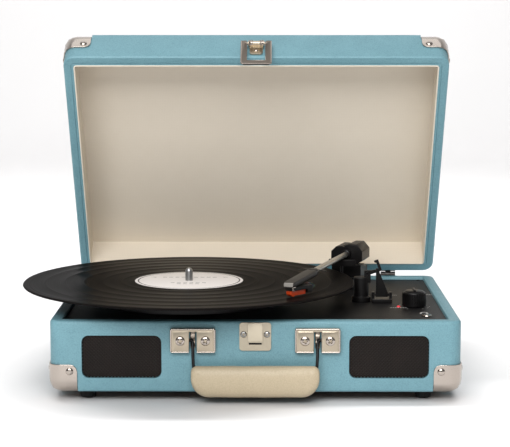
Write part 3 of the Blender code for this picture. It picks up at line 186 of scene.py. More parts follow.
def platedMetal(name, colour, roughness, smear, brushMm=0.0):
    # plated or bare metal: mirror-like with faint handling smears, or with drawn brush lines
    made, tree, shader, place = startMaterial(name, colour, roughness, metallic=1.0)
    if brushMm:
        stretch = addNode(tree, "Mapping", {"Scale": (1, 1, 14)}, {"Vector": place})
        worn = height = addNode(tree, "TexNoise", {"Scale": perMm(brushMm), "Detail": 3.0},
                                {"Vector": stretch.outputs[0]})
        strength, depth = 0.5, 0.01
    else:
        worn = addNode(tree, "TexNoise", {"Scale": perMm(7), "Detail": 6.0, "Roughness": 0.7},
                       {"Vector": place})
        height = addNode(tree, "TexNoise", {"Scale": perMm(4), "Detail": 1.0}, {"Vector": place})
        strength, depth = 0.35, 0.06
    addNode(tree, "MapRange", {"To Min": roughness - smear, "To Max": roughness + smear},
            {"Value": worn.outputs["Fac"]}, shader.inputs["Roughness"])
    addNode(tree, "Bump", {"Strength": strength, "Distance": depth * mm}, {"Height": height.outputs["Fac"]},
            shader.inputs["Normal"])
    return made


def mouldedPlastic(name, dark, light, roughness, sparkMm, depthMm, ior=1.53, **fixed):
    # injection-moulded plastic from a spark-eroded mould: an even fine grain that breaks up the gloss
    made, tree, shader, place = startMaterial(name, light, roughness, ior=ior, **fixed)
    spark = addNode(tree, "TexNoise", {"Scale": perMm(sparkMm), "Detail": 3.0, "Roughness": 0.6},
                    {"Vector": place}).outputs["Fac"]
    cloud = addNode(tree, "TexNoise", {"Scale": perMm(18), "Detail": 3.0}, {"Vector": place})
    addNode(tree, "Mix", {"data_type": "RGBA", 6: hexColour(dark), 7: hexColour(light)},
            {0: cloud.outputs["Fac"]}, shader.inputs["Base Color"])
    addNode(tree, "MapRange", {"To Min": roughness - 0.08, "To Max": roughness + 0.1}, {"Value": spark},
            shader.inputs["Roughness"])
    addNode(tree, "Bump", {"Strength": 1.0, "Distance": depthMm * mm}, {"Height": spark},
            shader.inputs["Normal"])
    return made


def fromSpindle(tree, place):                          # how far a point is from the spindle, seen from above
    centre = addNode(tree, "VectorMath", {"operation": "SUBTRACT", 1: turntableCentre}, {0: place})
    flat = addNode(tree, "VectorMath", {"operation": "MULTIPLY", 1: (1, 1, 0)}, {0: centre.outputs[0]})
    return addNode(tree, "VectorMath", {"operation": "LENGTH"}, {0: flat.outputs[0]}).outputs["Value"]


def pressedRecord(name):
    # pressed PVC record: fine grooves turn a lamp into fans of sheen across the disc, bands differ a little
    made, tree, shader, place = startMaterial(name, "#0B0A0A", 0.3, Anisotropic=0.8,
                                              **{"Specular IOR Level": 0.006, "Coat Weight": 0.04,
                                                 "Coat Roughness": 0.32})
    radius = fromSpindle(tree, place)
    groove = addNode(tree, "TexNoise", {"noise_dimensions": "1D", "Scale": perMm(0.7), "Detail": 4.0},
                     {"W": radius}).outputs["Fac"]     # true pitch is 0.1 mm; drawn at 0.7 to show
    band = addNode(tree, "TexNoise", {"noise_dimensions": "1D", "Scale": perMm(11), "Detail": 1.0},
                   {"W": radius})
    addNode(tree, "Mix", {"data_type": "RGBA", 6: hexColour("#080707"), 7: hexColour("#151211")},
            {0: band.outputs["Fac"]}, shader.inputs["Base Color"])
    addNode(tree, "MapRange", {"To Min": 0.22, "To Max": 0.42}, {"Value": groove}, shader.inputs["Roughness"])
    addNode(tree, "Bump", {"Strength": 0.4, "Distance": 0.02 * mm}, {"Height": groove},
            shader.inputs["Normal"])
    addNode(tree, "Tangent", {"direction_type": "RADIAL", "axis": "Z"}, feeds=shader.inputs["Tangent"])
    return made


def printedPaper(name):
    # label of coated paper pressed into the record, with a thin printed ring near its edge
    made, tree, shader, place = startMaterial(name, "#E4DEDA", 0.55, ior=1.45)
    ring = addNode(tree, "Math", {"operation": "COMPARE", 1: 46.3 * mm, 2: 0.55 * mm},
                   {0: fromSpindle(tree, place)})
    fibre = addNode(tree, "TexNoise", {"Scale": perMm(1.5), "Detail": 4.0}, {"Vector": place}).outputs["Fac"]
    paper = addNode(tree, "Mix", {"data_type": "RGBA", 6: hexColour("#DDD6D2"), 7: hexColour("#EAE5E1")},
                    {0: fibre})
    addNode(tree, "Mix", {"data_type": "RGBA", 7: hexColour("#1A1716")},
            {0: ring.outputs[0], 6: paper.outputs[2]}, shader.inputs["Base Color"])
    addNode(tree, "Bump", {"Strength": 0.4, "Distance": 0.01 * mm}, {"Height": fibre},
            shader.inputs["Normal"])
    return made


def wool(name, dark, light):
    # needled wool felt: short fibres lying every way, no gloss
    made, tree, shader, place = startMaterial(name, light, 0.97, ior=1.45)
    fibre = addNode(tree, "TexNoise", {"Scale": perMm(0.6), "Detail": 5.0, "Distortion": 1.5},
                    {"Vector": place}).outputs["Fac"]
    addNode(tree, "Mix", {"data_type": "RGBA", 6: hexColour(dark), 7: hexColour(light)}, {0: fibre},
            shader.inputs["Base Color"])
    addNode(tree, "Bump", {"Strength": 1.0, "Distance": 0.12 * mm}, {"Height": fibre},
            shader.inputs["Normal"])
    return made


def lamp(name, colour, paler, glow):
    # clear red lens with the diode lit inside, so it glows a little by itself
    made, tree, shader, place = startMaterial(name, colour, 0.18, ior=1.58)
    shader.inputs["Emission Color"].default_value = hexColour("#FF2030")
    shader.inputs["Emission Strength"].default_value = glow
    swirl = addNode(tree, "TexNoise", {"Scale": perMm(1.2)}, {"Vector": place})
    addNode(tree, "Mix", {"data_type": "RGBA", 6: hexColour(colour), 7: hexColour(paler)},
            {0: swirl.outputs["Fac"]}, shader.inputs["Base Color"])
    return made


# coverings: name, darkest and lightest colour, then sizes in millimetres
vinyl = leathercloth("embossedPvcLeathercloth", "#57818C", "#7DAAB5", 0.9, 0.09, 0.5)
handleCover = leathercloth("creamLeatherette", "#A99A80", "#C2B397", 1.1, 0.04, 0.45)
lining = wovenPaper("wovenPaperLining", "#D9CEBC", "#E9DFCF", 0.8)
felt = wool("needledWoolFelt", "#121110", "#24211F")

# metals, from mirror-bright corner caps to beaded ones and dark hinge steel that is painted shade
nickel = platedMetal("polishedNickelPlate", "#B9AFA6", 0.16, 0.06)
latchNickel = platedMetal("satinNickelPlate", "#B8AC99", 0.3, 0.06)
# darker nickel; on the bracket straps it is painted shade of the gap between the fields
loopNickel = platedMetal("darkNickelPlate", "#80766C", 0.3, 0.08)
catchNickel = platedMetal("beadBlastedNickelPlate", "#BDB3A0", 0.48, 0.05)
# hinge steel painted dark: painted shade of the gap between lid and case where the hinges sit
hingeSteel = platedMetal("darkHingeSteel", "#4A4644", 0.42, 0.08)
steel = platedMetal("zincPlatedSteel", "#A9A9A8", 0.32, 0.08)
tubeAluminium = platedMetal("drawnAluminium", "#D0CCC4", 0.36, 0.08, brushMm=0.6)
turnedBrass = platedMetal("turnedBrass", "#C6A35A", 0.3, 0.07, brushMm=0.5)

# plastics and paints; the matt ones throw back less at a low angle, which keeps them black
matt = {"Specular IOR Level": 0.22}
absBlack = mouldedPlastic("mouldedAbsSatinBlack", "#0A0909", "#131111", 0.34, 0.35, 0.02, **matt)
absGrey = mouldedPlastic("mouldedAbsGraphite", "#1E1C1B", "#34302D", 0.4, 0.35, 0.02, **matt)
absPale = mouldedPlastic("mouldedAbsPaleGrey", "#77746F", "#969189", 0.4, 0.35, 0.02)
deckPlastic = mouldedPlastic("grainedStyreneDeck", "#0D0C0C", "#161414", 0.5, 0.5, 0.05, **matt)
rubber = mouldedPlastic("mouldedNitrileRubber", "#090909", "#121111", 0.75, 0.5, 0.03, ior=1.52)
lacquer = mouldedPlastic("dippedBlackLacquer", "#060606", "#0C0B0B", 0.4, 1.2, 0.02, **matt)
meshPaint = mouldedPlastic("powderCoatedMesh", "#161210", "#28201C", 0.6, 0.3, 0.02, **matt)
coneCard = mouldedPlastic("pressedConePaper", "#0D0B0A", "#151211", 0.9, 0.4, 0.05)
hardboard = mouldedPlastic("hardboardBack", "#4B3A29", "#6B543B", 0.85, 0.8, 0.05)
orangeStyrene = mouldedPlastic("mouldedOrangeStyrene", "#B8360A", "#D24A18", 0.35, 0.4, 0.01)
solderMask = mouldedPlastic("greenSolderMask", "#0F4A24", "#1B6A36", 0.35, 1.0, 0.02)
redRing = mouldedPlastic("mouldedRedStyrene", "#8E1313", "#B01C1C", 0.4, 0.4, 0.01)
whiteRing = mouldedPlastic("mouldedWhiteStyrene", "#D8D6D0", "#E8E6E0", 0.4, 0.4, 0.01)
whiteInk = mouldedPlastic("screenPrintedWhite", "#C4C2BE", "#DCDAD6", 0.6, 0.2, 0.005)
blackInk = mouldedPlastic("printedBlackInk", "#2A2725", "#413D3A", 0.6, 0.2, 0.005)
grooves = pressedRecord("pressedPvcGrooves")
labelPaper = printedPaper("printedLabelPaper")
redLens = lamp("litRedLens", "#B00C18", "#FF5A62", 0.25)
print("materials made:", len(bpy.data.materials))


# shapes, in millimetres

def arc(cx, cy, radius, start, end, steps):
    return [(cx + radius * cos(start + (end - start) * i / steps),
             cy + radius * sin(start + (end - start) * i / steps)) for i in range(steps + 1)]


def circle(radius, steps):
    return arc(0, 0, radius, 0, 2 * pi, steps)[:-1]


def roundedRect(x0, x1, y0, y1, radius, steps=6):
    corners = ((x1 - radius, y0 + radius, -pi / 2), (x1 - radius, y1 - radius, 0),
               (x0 + radius, y1 - radius, pi / 2), (x0 + radius, y0 + radius, pi))
    return [p for cx, cy, start in corners for p in arc(cx, cy, radius, start, start + pi / 2, steps)]


def skin(rings, closed=False, bm=None):
    # join rings of equal length; an open stack gets end faces
    bm = bm or bmesh.new()
    rows = [[bm.verts.new(p) for p in ring] for ring in rings]
    for low, high in list(zip(rows, rows[1:])) + ([(rows[-1], rows[0])] if closed else []):
        for i in range(len(low)):
            j = (i + 1) % len(low)
            bm.faces.new((low[i], low[j], high[j], high[i]))
    if not closed:
        bm.faces.new(rows[0][::-1])
        bm.faces.new(rows[-1])
    return bm


def slab(outline, low, high, bm=None):
    return skin([[(x, y, z) for x, y in outline] for z in (low, high)], bm=bm)


def softBox(x0, x1, y0, y1, z0, z1, edge=0.3, bm=None):
    # box with chamfered edges all round
    inner = roundedRect(x0 + edge, x1 - edge, y0 + edge, y1 - edge, 0.05, 1)
    outer = roundedRect(x0, x1, y0, y1, edge, 1)
    levels = ((inner, z0), (outer, z0 + edge), (outer, z1 - edge), (inner, z1))
    return skin([[(x, y, z) for x, y in ring] for ring, z in levels], bm=bm)


def turned(profile, steps=48, bm=None, matrix=None):
    # turn (radius, z) points about Z; ends on the axis are closed with a point
    bm = bm or bmesh.new()
    matrix = matrix or Matrix.Identity(4)
    rows = []
    for radius, z in profile:
        ring = [(0, 0, z)] if radius == 0 else [(x, y, z) for x, y in circle(radius, steps)]
        rows.append([bm.verts.new(matrix @ Vector(p)) for p in ring])
    pairs = list(zip(rows, rows[1:]))
    if profile[0][0] and profile[-1][0]:
        pairs.append((rows[-1], rows[0]))
    for low, high in pairs:
        for i in range(steps):
            j = (i + 1) % steps
            corners = (low[0],) if len(low) == 1 else (low[i], low[j])
            corners += (high[0],) if len(high) == 1 else (high[j], high[i])
            bm.faces.new(corners)
    return bm


def tube(path, radius, sides=12, bm=None, closed=False):
    points = [Vector(p) for p in path]
    count = len(points)
    rings, side = [], None
    for i, point in enumerate(points):
        before = points[i - 1] if closed or i else points[0]
        after = points[(i + 1) % count] if closed or i < count - 1 else points[-1]
        along = (after - before).normalized()
        side = along.orthogonal() if side is None else side
        side = (side - along * side.dot(along)).normalized()
        up = along.cross(side)
        rings.append([tuple(point + side * x + up * y) for x, y in circle(radius, sides)])
    return skin(rings, closed=closed, bm=bm)


def facing(place, normal):
    # frame at a place with its Z along the normal
    return Matrix.Translation(place) @ Vector(normal).to_track_quat("Z", "Y").to_matrix().to_4x4()


def panScrew(bm, place, normal, radius=4.0, height=1.6, crossTurn=20):
    # domed screw head with a cross recess
    steps = 40
    matrix = facing(place, normal) @ Matrix.Rotation(radians(crossTurn), 4, "Z")
    slot, depth = radius * 0.16, height * 1.15
    rows = []
    for share in (0, 0.1, 0.18, 0.28, 0.4, 0.52, 0.58, 0.7, 0.82, 0.92, 0.98, 1.0):
        ring = [(0, 0)] if share == 0 else circle(radius * share, steps)
        row = []
        for x, y in ring:
            top = height * sqrt(max(0.0, 1 - 0.93 * share ** 2))
            if share < 0.56 and (abs(x) < slot or abs(y) < slot):
                top -= depth * (1 - 0.7 * share)
            row.append(bm.verts.new(matrix @ Vector((x, y, top))))
        rows.append(row)
    rows.append([bm.verts.new(matrix @ Vector((x, y, 0))) for x, y in circle(radius, steps)])
    for low, high in zip(rows, rows[1:]):
        for i in range(steps):
            j = (i + 1) % steps
            corners = (low[0],) if len(low) == 1 else (low[j], low[i])
            bm.faces.new(corners + (high[i], high[j]))
    bm.faces.new(rows[-1][::-1])
    return bm


def domeRivet(bm, place, normal, radius=3.2, height=1.7):
    profile = [(radius * cos(a), height * sin(a)) for a in (radians(d) for d in range(0, 90, 12))]
    return turned([(0, -0.2), (radius, -0.2)] + profile + [(0, height)], 32, bm, facing(place, normal))


def addPiece(name, bm, material, place, like, replaced=(), sharp=42, smooth=0):
    # put a drawn shape in place; it rides with the CAD node it belongs to
    bm.transform(place @ Matrix.Scale(mm, 4))
    return settle(name, bm, material, like, replaced, sharp, 0, smooth)


def settle(name, bm, material, like, replaced, sharp, bevel, smooth):
    bmesh.ops.recalc_face_normals(bm, faces=bm.faces)
    mesh = bpy.data.meshes.new(name)
    bm.to_mesh(mesh)
    bm.free()
    mesh.shade_smooth()
    mesh.set_sharp_from_angle(angle=radians(sharp))
    mesh.materials.append(material)
    made = bpy.data.objects.new(name, mesh)
    bpy.context.scene.collection.objects.link(made)
    if bevel:
        edge = made.modifiers.new("edge", "BEVEL")
        edge.width = bevel * mm
        edge.segments = 3
        edge.limit_method = "ANGLE"
        edge.angle_limit = radians(38)
    if smooth:
        finer = made.modifiers.new("finer", "SUBSURF")
        finer.levels = finer.render_levels = smooth
    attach(made, bodyOf[like])
    if replaced:
        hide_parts(*replaced)
    return made


def refined(node, material, bevel):
    # a CAD solid redrawn with clean faces and eased edges, standing for the node
    bm = bmesh.new()
    bm.from_mesh(nodes[node].data)
    bmesh.ops.remove_doubles(bm, verts=bm.verts, dist=2e-6)
    bmesh.ops.dissolve_limit(bm, angle_limit=radians(0.4), verts=bm.verts, edges=bm.edges)
    return settle(node + "_finished", bm, material, node, (node,), 42, bevel, 0)


case = {"seamIn": 40, "seamWidth": 14, "seamThick": 0.45, "capThick": 1.2, "lidTall": 39.2,
        "rivetInset": 17.5, "rivetRise": 18.2, "rivetRadius": 3.25, "footRadius": 7.5, "footHole": 2.4,
        "footHoleDeep": 2.5, "screwIn": 16, "screwEnd": 40, "screwRadius": 2.6, "screwHead": 1.1}


def makeFoot(where):                                   # turned rubber foot with its screw hole
    low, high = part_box("foot_" + where)
    middle = Matrix.Translation(((low.x + high.x) / 2, (low.y + high.y) / 2, 0))
    radius, tall = case["footRadius"], (high.z - low.z) / mm
    hole, deep = case["footHole"], case["footHoleDeep"]
    shape = [(0, deep), (hole, deep), (hole + 0.2, 0.3), (hole + 0.5, 0), (radius - 1.6, 0),
             (radius - 1.1, 0.2), (radius - 0.8, 0.8), (radius, tall - 0.6), (radius - 0.3, tall), (0, tall)]
    addPiece("foot_rubber_" + where, turned(shape, 40), rubber, middle, "foot_" + where, ("foot_" + where,))


def makeCase():
    refined("base_case", vinyl, 0.8)
    refined("deck_plate", deckPlastic, 0.4)
    refined("bottom_panel", hardboard, 0.5)
    half, seamLeft = caseWidth / 2, case["seamIn"] - caseWidth / 2
    seam = softBox(seamLeft, seamLeft + case["seamWidth"], caseDepth - 0.05, caseDepth + case["seamThick"],
                   caseBottom + 3, rimTop - 3, 0.2)
    addPiece("case_back_seam", seam, vinyl, caseFrame, "base_case")
    inset, plate, radius = case["rivetInset"], case["capThick"], case["rivetRadius"]
    caps = (("base_cap_", caseFrame, caseBottom + case["rivetRise"]),
            ("lid_cap_", lidFrame, lidRim + case["lidTall"] - case["rivetRise"]))
    for side, leftRight in ((-1, "left"), (1, "right")):
        for outward, frontRear in ((-1, "front"), (1, "rear")):
            where = f"{frontRear}_{leftRight}"
            faceY = caseDepth + plate if outward > 0 else -plate
            sideY = caseDepth - inset if outward > 0 else inset
            for kind, place, height in caps:
                refined(kind + where, nickel, 0.25)
            for kind, place, height in caps:
                rivets = bmesh.new()
                domeRivet(rivets, (side * (half - inset), faceY, height), (0, outward, 0), radius)
                domeRivet(rivets, (side * (half + plate), sideY, height), (side, 0, 0), radius)
                addPiece("rivets_" + kind + where, rivets, nickel, place, kind + where)
            makeFoot(where)
    screws = bmesh.new()
    for x in (-half + case["screwIn"], half - case["screwIn"]):
        for y in (case["screwEnd"], caseDepth / 2, caseDepth - case["screwEnd"]):
            panScrew(screws, (x, y, caseBottom + 0.1), (0, 0, -1), case["screwRadius"], case["screwHead"], 35)
    addPiece("bottom_screws", screws, steel, caseFrame, "bottom_panel")


speaker = {"pitch": 2.1, "hole": 0.74, "sheet": 0.7, "corner": 5.7}     # true pitch 1.7; opened up to show


def perforated(x0, x1, z0, z1, corner):
    # sheet in the XZ plane with round holes in a diagonal grid, trimmed to a rounded opening
    bm = bmesh.new()
    pitch, thick = speaker["pitch"], speaker["sheet"]
    cx, cz = (x0 + x1) / 2, (z0 + z1) / 2
    reach = int(((x1 - x0) + (z1 - z0)) / 2 / pitch) + 2
    turn = radians(45)
    ring = [(cos(a) * speaker["hole"], sin(a) * speaker["hole"]) for a in (i * pi / 4 for i in range(8))]
    cell = [(0.5, 0), (0.5, 0.5), (0, 0.5), (-0.5, 0.5), (-0.5, 0), (-0.5, -0.5), (0, -0.5), (0.5, -0.5)]
    for i in range(-reach, reach + 1):
        for j in range(-reach, reach + 1):
            u = (i * cos(turn) - j * sin(turn)) * pitch
            v = (i * sin(turn) + j * cos(turn)) * pitch
            if abs(u) > (x1 - x0) / 2 + pitch or abs(v) > (z1 - z0) / 2 + pitch:
                continue
            layers = []
            for points, y in ((cell, 0), (ring, 0), (ring, thick), (cell, thick)):
                size = pitch if points is cell else 1
                layers.append([bm.verts.new((cx + u + (a * cos(turn) - b * sin(turn)) * size, y,
                                             cz + v + (a * sin(turn) + b * cos(turn)) * size))
                               for a, b in points])
            for low, high in zip(layers, layers[1:]):
                for k in range(8):
                    bm.faces.new((low[k], low[(k + 1) % 8], high[(k + 1) % 8], high[k]))
    bmesh.ops.remove_doubles(bm, verts=bm.verts, dist=1e-3)
    outline = roundedRect(x0, x1, z0, z1, corner, 3)
    for (ax, az), (bx, bz) in zip(outline, outline[1:] + outline[:1]):
        if abs(ax - bx) + abs(az - bz) < 1e-6:
            continue
        bmesh.ops.bisect_plane(bm, geom=bm.verts[:] + bm.edges[:] + bm.faces[:], plane_co=(ax, 0, az),
                               plane_no=(bz - az, 0, ax - bx), clear_outer=True)
    edges = [e for e in bm.edges if e.is_boundary]
    bmesh.ops.holes_fill(bm, edges=edges, sides=0)
    return bm


def makeSpeakers():
    for word in ("left", "right"):
        low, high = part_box("speaker_grille_" + word)
        bm = perforated(low.x / mm, high.x / mm, low.z / mm, high.z / mm, speaker["corner"])
        addPiece("speaker_mesh_" + word, bm, meshPaint, Matrix.Translation((0, low.y, 0)),
                 "speaker_grille_" + word, ("speaker_grille_" + word,), sharp=30)
        refined("speaker_driver_" + word, coneCard, 0.3)


handle = {"screwOut": 10.8, "screwRadius": 4.1, "screwHead": 1.5, "slotHalf": 3.5, "fieldInset": 2.6,
          "fieldRise": 0.5, "bead": 0.75, "strapHalf": 2.4, "strapThick": 0.9, "strapDeep": 2.5, "dip": 0.22}


def makeBrackets():
    for word in ("left", "right"):
        node = "handle_bracket_" + word
        refined(node, latchNickel, 0.7)
        low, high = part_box(node)
        x0, x1, z0, z1 = (v / mm for v in (low.x, high.x, low.z, high.z))
        middle, face = (x0 + x1) / 2, low.y / mm
        fields = bmesh.new()
        inset, rise = handle["fieldInset"], handle["fieldRise"]
        for way in (-1, 1):
            inner = middle + way * handle["slotHalf"]
            outer = middle + way * ((x1 - x0) / 2 - inset)
            left, right = min(inner, outer), max(inner, outer)
            outline = roundedRect(left, right, z0 + 0.6, z1 - inset, 0.6, 2)
            smaller = roundedRect(left + 0.4, right - 0.4, z0 + 1.0, z1 - inset - 0.4, 0.5, 2)
            levels = ((outline, face + 0.2), (outline, face - rise * 0.5), (smaller, face - rise))
            skin([[(x, y, z) for x, z in ring] for ring, y in levels], bm=fields)
        addPiece("bracket_fields_" + word, fields, latchNickel, Matrix.Identity(4), node)
        bead = handle["bead"]                          # rolled border, open below where the wire leaves
        left, right, under, over = x0 + bead, x1 - bead, z0 + bead, z1 - bead
        border = [(middle - 3.6, under)] + arc(left + 1, under + 1, 1, 3 * pi / 2, pi, 4)
        border += arc(left + 1, over - 1, 1, pi, pi / 2, 4) + arc(right - 1, over - 1, 1, pi / 2, 0, 4)
        border += arc(right - 1, under + 1, 1, 0, -pi / 2, 4) + [(middle + 3.6, under)]
        rim = tube([(x, face - 0.1, z) for x, z in border], bead, 10)
        addPiece("bracket_border_" + word, rim, nickel, Matrix.Identity(4), node, sharp=75)
        screws = bmesh.new()
        for way, turn in ((-1, 12), (1, 38)):
            place = (middle + way * handle["screwOut"], face - rise + 0.1, (z0 + z1) / 2 - 0.2)
            panScrew(screws, place, (0, -1, 0), handle["screwRadius"], handle["screwHead"], turn)
        addPiece("bracket_screws_" + word, screws, nickel, Matrix.Identity(4), node)
        strap, wide, thick = [], handle["strapHalf"], handle["strapThick"]
        for i in range(25):                            # crumpled strap that holds the wire in, in darker nickel as painted shade of the gap between the fields
            t = i / 24
            z = z0 + 3.5 + t * (z1 - z0 - 7)
            y = face + handle["strapDeep"] + 0.55 * sin(t * 5 * pi) * (1 - t * 0.3)
            strap.append([(middle - wide + 0.25 * sin(7 * t), y, z),
                          (middle + wide, y + 0.15 * sin(9 * t), z),
                          (middle + wide, y + thick, z), (middle - wide, y + thick, z)])
        addPiece("bracket_strap_" + word, skin(strap), loopNickel, Matrix.Identity(4), node, smooth=1)


grip = {"lowerRound": 15.5, "upperRound": 5.0, "squareness": 0.8, "foldReach": 16, "fold": 0.5, "pull": 0.25,
        "seam": 0.35, "stations": 30, "sides": 48}


def gripSection(x, half, low, high, thick):
    # lower edge, upper edge and half thickness of the grip at this distance from its middle
    lowerRound, upperRound = grip["lowerRound"], grip["upperRound"]
    bottom, top = low, high
    into = abs(x) - (half - lowerRound)
    if into > 0:
        bottom += lowerRound * (1 - sqrt(max(0, 1 - (into / lowerRound) ** 2)))
    into = abs(x) - (half - upperRound)
    if into > 0:
        top -= upperRound * (1 - sqrt(max(0, 1 - (into / upperRound) ** 2)))
    return bottom, top, thick * sqrt((top - bottom) / (high - low))


def makeGrip():
    # wrapped handle: a crowned slab with soft folds in its cover near the wire, seamed along its lower edge
    low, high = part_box("handle_grip")
    half = (high.x - low.x) / 2 / mm
    centreX, centreY = (low.x + high.x) / 2 / mm, (low.y + high.y) / 2 / mm
    z0, z1, thick = low.z / mm, high.z / mm, (high.y - low.y) / 2 / mm
    last, reach = grip["stations"], grip["foldReach"]
    stations = [half * (1 - (1 - i / last) ** 2.2) for i in range(last + 1)]          # closer near the ends
    stations[-1] = half - 0.03
    rings = []
    for x in [-s for s in stations[:0:-1]] + stations:
        bottom, top, deep = gripSection(x, half, z0, z1, thick)
        middle, tall = (bottom + top) / 2, (top - bottom) / 2
        near = max(0.0, (abs(x) - half + reach) / reach)               # folds only by the wires
        ring = []
        for i in range(grip["sides"]):
            a = 2 * pi * i / grip["sides"]
            u = abs(cos(a)) ** grip["squareness"] * (1 if cos(a) > 0 else -1)
            v = abs(sin(a)) ** grip["squareness"] * (1 if sin(a) > 0 else -1)
            crease = noise.noise(Vector((x * 0.35, v * 1.6, u * 0.4 + 7)))
            fold = grip["fold"] * near * (1 - near) * 4 * crease
            pull = grip["pull"] * noise.noise(Vector((x * 0.06, v, u + 3)))
            seam = grip["seam"] if abs(v + 1) < 0.03 else 0
            ring.append((centreX + x, centreY + (deep - 0.4 + fold + pull) * u,
                         middle + (tall - 0.35 + pull) * v - seam))
        rings.append(ring)
    cover = addPiece("handle_grip_cover", skin(rings), handleCover, Matrix.Identity(4), "handle_grip",
                     ("handle_grip",), sharp=75)


def makeHandle():
    makeBrackets()
    bail = refined("handle_bail", lacquer, 0)
    dip = bail.modifiers.new("dip", "DISPLACE")        # the lacquer's own thickness
    dip.strength, dip.mid_level = handle["dip"] * mm, 0
    makeGrip()


latch = {"screwOut": 10, "screwHeight": 59.5, "screwRadius": 2.8, "screwHead": 1.4, "tongueProud": 3.1,
         "tongueFoot": 18.3, "slotHalf": 5.6, "slotTall": 2.2, "pivotOut": 5.2, "pivotRise": 15,
         "loopHalf": 14.2, "loopLeg": 5.6, "loopDrop": 35, "rim": 0.5, "eyeRim": 0.35, "coilTurns": 5,
         "coilRadius": 2.75, "wire": 0.35}


def makeCatch():
    refined("latch_catch", catchNickel, 0.35)
    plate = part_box("latch_catch")[0].y / mm + latch["tongueProud"]
    screws = bmesh.new()
    for way, turn in ((-1, 5), (1, 50)):
        place = (caseOrigin.x / mm + way * latch["screwOut"], plate, latch["screwHeight"])
        panScrew(screws, place, (0, -1, 0), latch["screwRadius"], latch["screwHead"], turn)
    slotTop, half = rimTop - latch["tongueFoot"], latch["slotHalf"]       # black sheet in the slot under the tongue: painted shadow of the gap
    plate -= caseOrigin.y / mm
    slotShadow = softBox(-half, half, plate - 0.12, plate + 0.4, slotTop - latch["slotTall"], slotTop + 0.2, 0.1)
    addPiece("catch_slot_painted_shadow", slotShadow, absBlack, caseFrame, "latch_catch")
    addPiece("catch_screws", screws, steel, Matrix.Identity(4), "latch_catch")


def makeLatch():
    makeCatch()
    refined("latch_loop", loopNickel, 0.45)
    refined("lid_latch_plate", latchNickel, 0.3)
    pivotY, pivotZ = -latch["pivotOut"], lidRim + latch["pivotRise"]
    wide, low, high = latch["loopHalf"] - 0.5, pivotZ - latch["loopDrop"] + 0.5, pivotZ + 2.6
    edge = [(-wide, high)] + arc(-wide + 2.5, low + 2.5, 2.5, pi, 3 * pi / 2, 5)
    edge += arc(wide - 2.5, low + 2.5, 2.5, -pi / 2, 0, 5) + [(wide, high)]
    rolled = tube([(x, pivotY - 0.35, z) for x, z in edge], latch["rim"], 10)
    eye, eyeFoot = latch["loopHalf"] - latch["loopLeg"], low + latch["loopLeg"] - 0.2
    inner = ((-eye, pivotZ), (-eye, eyeFoot), (eye, eyeFoot), (eye, pivotZ))
    tube([(x, pivotY - 0.35, z) for x, z in inner], latch["eyeRim"], 10, bm=rolled)
    addPiece("latch_loop_edges", rolled, nickel, lidFrame, "latch_loop", sharp=75)
    count, radius = latch["coilTurns"] * 14, latch["coilRadius"]
    for way, word in ((-1, "left"), (1, "right")):
        coil = []
        for i in range(count + 1):
            a = 2 * pi * i / 14
            coil.append((way * (3.0 + 4.0 * i / count), pivotY + radius * cos(a), pivotZ + radius * sin(a)))
        addPiece("latch_spring_" + word, tube(coil, latch["wire"], 8), nickel, lidFrame, "lid_latch_plate")
    screws = bmesh.new()
    for way in (-1, 1):
        panScrew(screws, (0, -1.5, pivotZ + way * 6.5 + 0.5), (0, -1, 0), 1.9, 0.9, 30 * way)
    addPiece("lid_latch_screws", screws, nickel, lidFrame, "lid_latch_plate")


lid = {"piping": 0.7, "corner": 2.2, "edgeStart": 7.0, "edgeEnd": 9.6, "edgeThick": 1.2, "seamOut": 60,
       "seamWidth": 14, "seamThick": 0.4}
hinge = {"screwOut": 4, "screwRise": 14, "leaf": 1.4, "screwRadius": 1.8, "screwHead": 0.8}


def lidOutline(inset):
    half = caseWidth / 2
    return roundedRect(-half + inset, half - inset, inset, caseDepth - inset, lid["corner"], 6)


def makeLid():
    refined("lid_shell", vinyl, 0.5)
    refined("lid_liner", lining, 0.25)
    start, end, thick = lid["edgeStart"], lid["edgeEnd"], lid["edgeThick"]
    turnedIn = skin([[(x, y, lidRim + height) for x, y in lidOutline(inset)]
                     for inset, height in ((start, 0.05), (end, 0.05), (end, thick), (start, thick))],
                    closed=True)                       # cover turned in over the edge of the lining
    addPiece("lid_turned_edge", turnedIn, vinyl, lidFrame, "lid_shell")
    welt = tube([(x, y, lidRim + 0.15) for x, y in lidOutline(end + 0.2)], lid["piping"], 10, closed=True)
    addPiece("lid_welt", welt, lining, lidFrame, "lid_liner", sharp=80)
    seamLeft = caseWidth / 2 - lid["seamOut"]
    seam = softBox(seamLeft, seamLeft + lid["seamWidth"], caseDepth - 0.05, caseDepth + lid["seamThick"],
                   lidRim + 3, lidRim + 36, 0.2)
    addPiece("lid_back_seam", seam, vinyl, lidFrame, "lid_shell")
    for word in ("left", "right"):
        refined("hinge_base_" + word, hingeSteel, 0.2)
        refined("hinge_lid_" + word, hingeSteel, 0.2)
        low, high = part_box("hinge_base_" + word)
        middle = ((low.x + high.x) / 2 - caseOrigin.x) / mm
        for node, place, height in (("hinge_base_", caseFrame, rimTop - hinge["screwRise"]),
                                    ("hinge_lid_", lidFrame, rimTop + hinge["screwRise"])):
            screws = bmesh.new()
            for way in (-1, 1):
                spot = (middle + way * hinge["screwOut"], caseDepth + hinge["leaf"], height)
                panScrew(screws, spot, (0, 1, 0), hinge["screwRadius"], hinge["screwHead"], 25 * way)
            addPiece("screws_" + node + word, screws, steel, place, node + word)


disc = {"bands": (61, 79, 96, 114, 131, 145), "labelRadius": 49.6, "spindleHole": 3.7, "sunk": 0.22,
        "land": 0.06, "print": ((17, 26, 9), (-15, 17, 6), (-21, 11, 4))}         # height, half width, bars


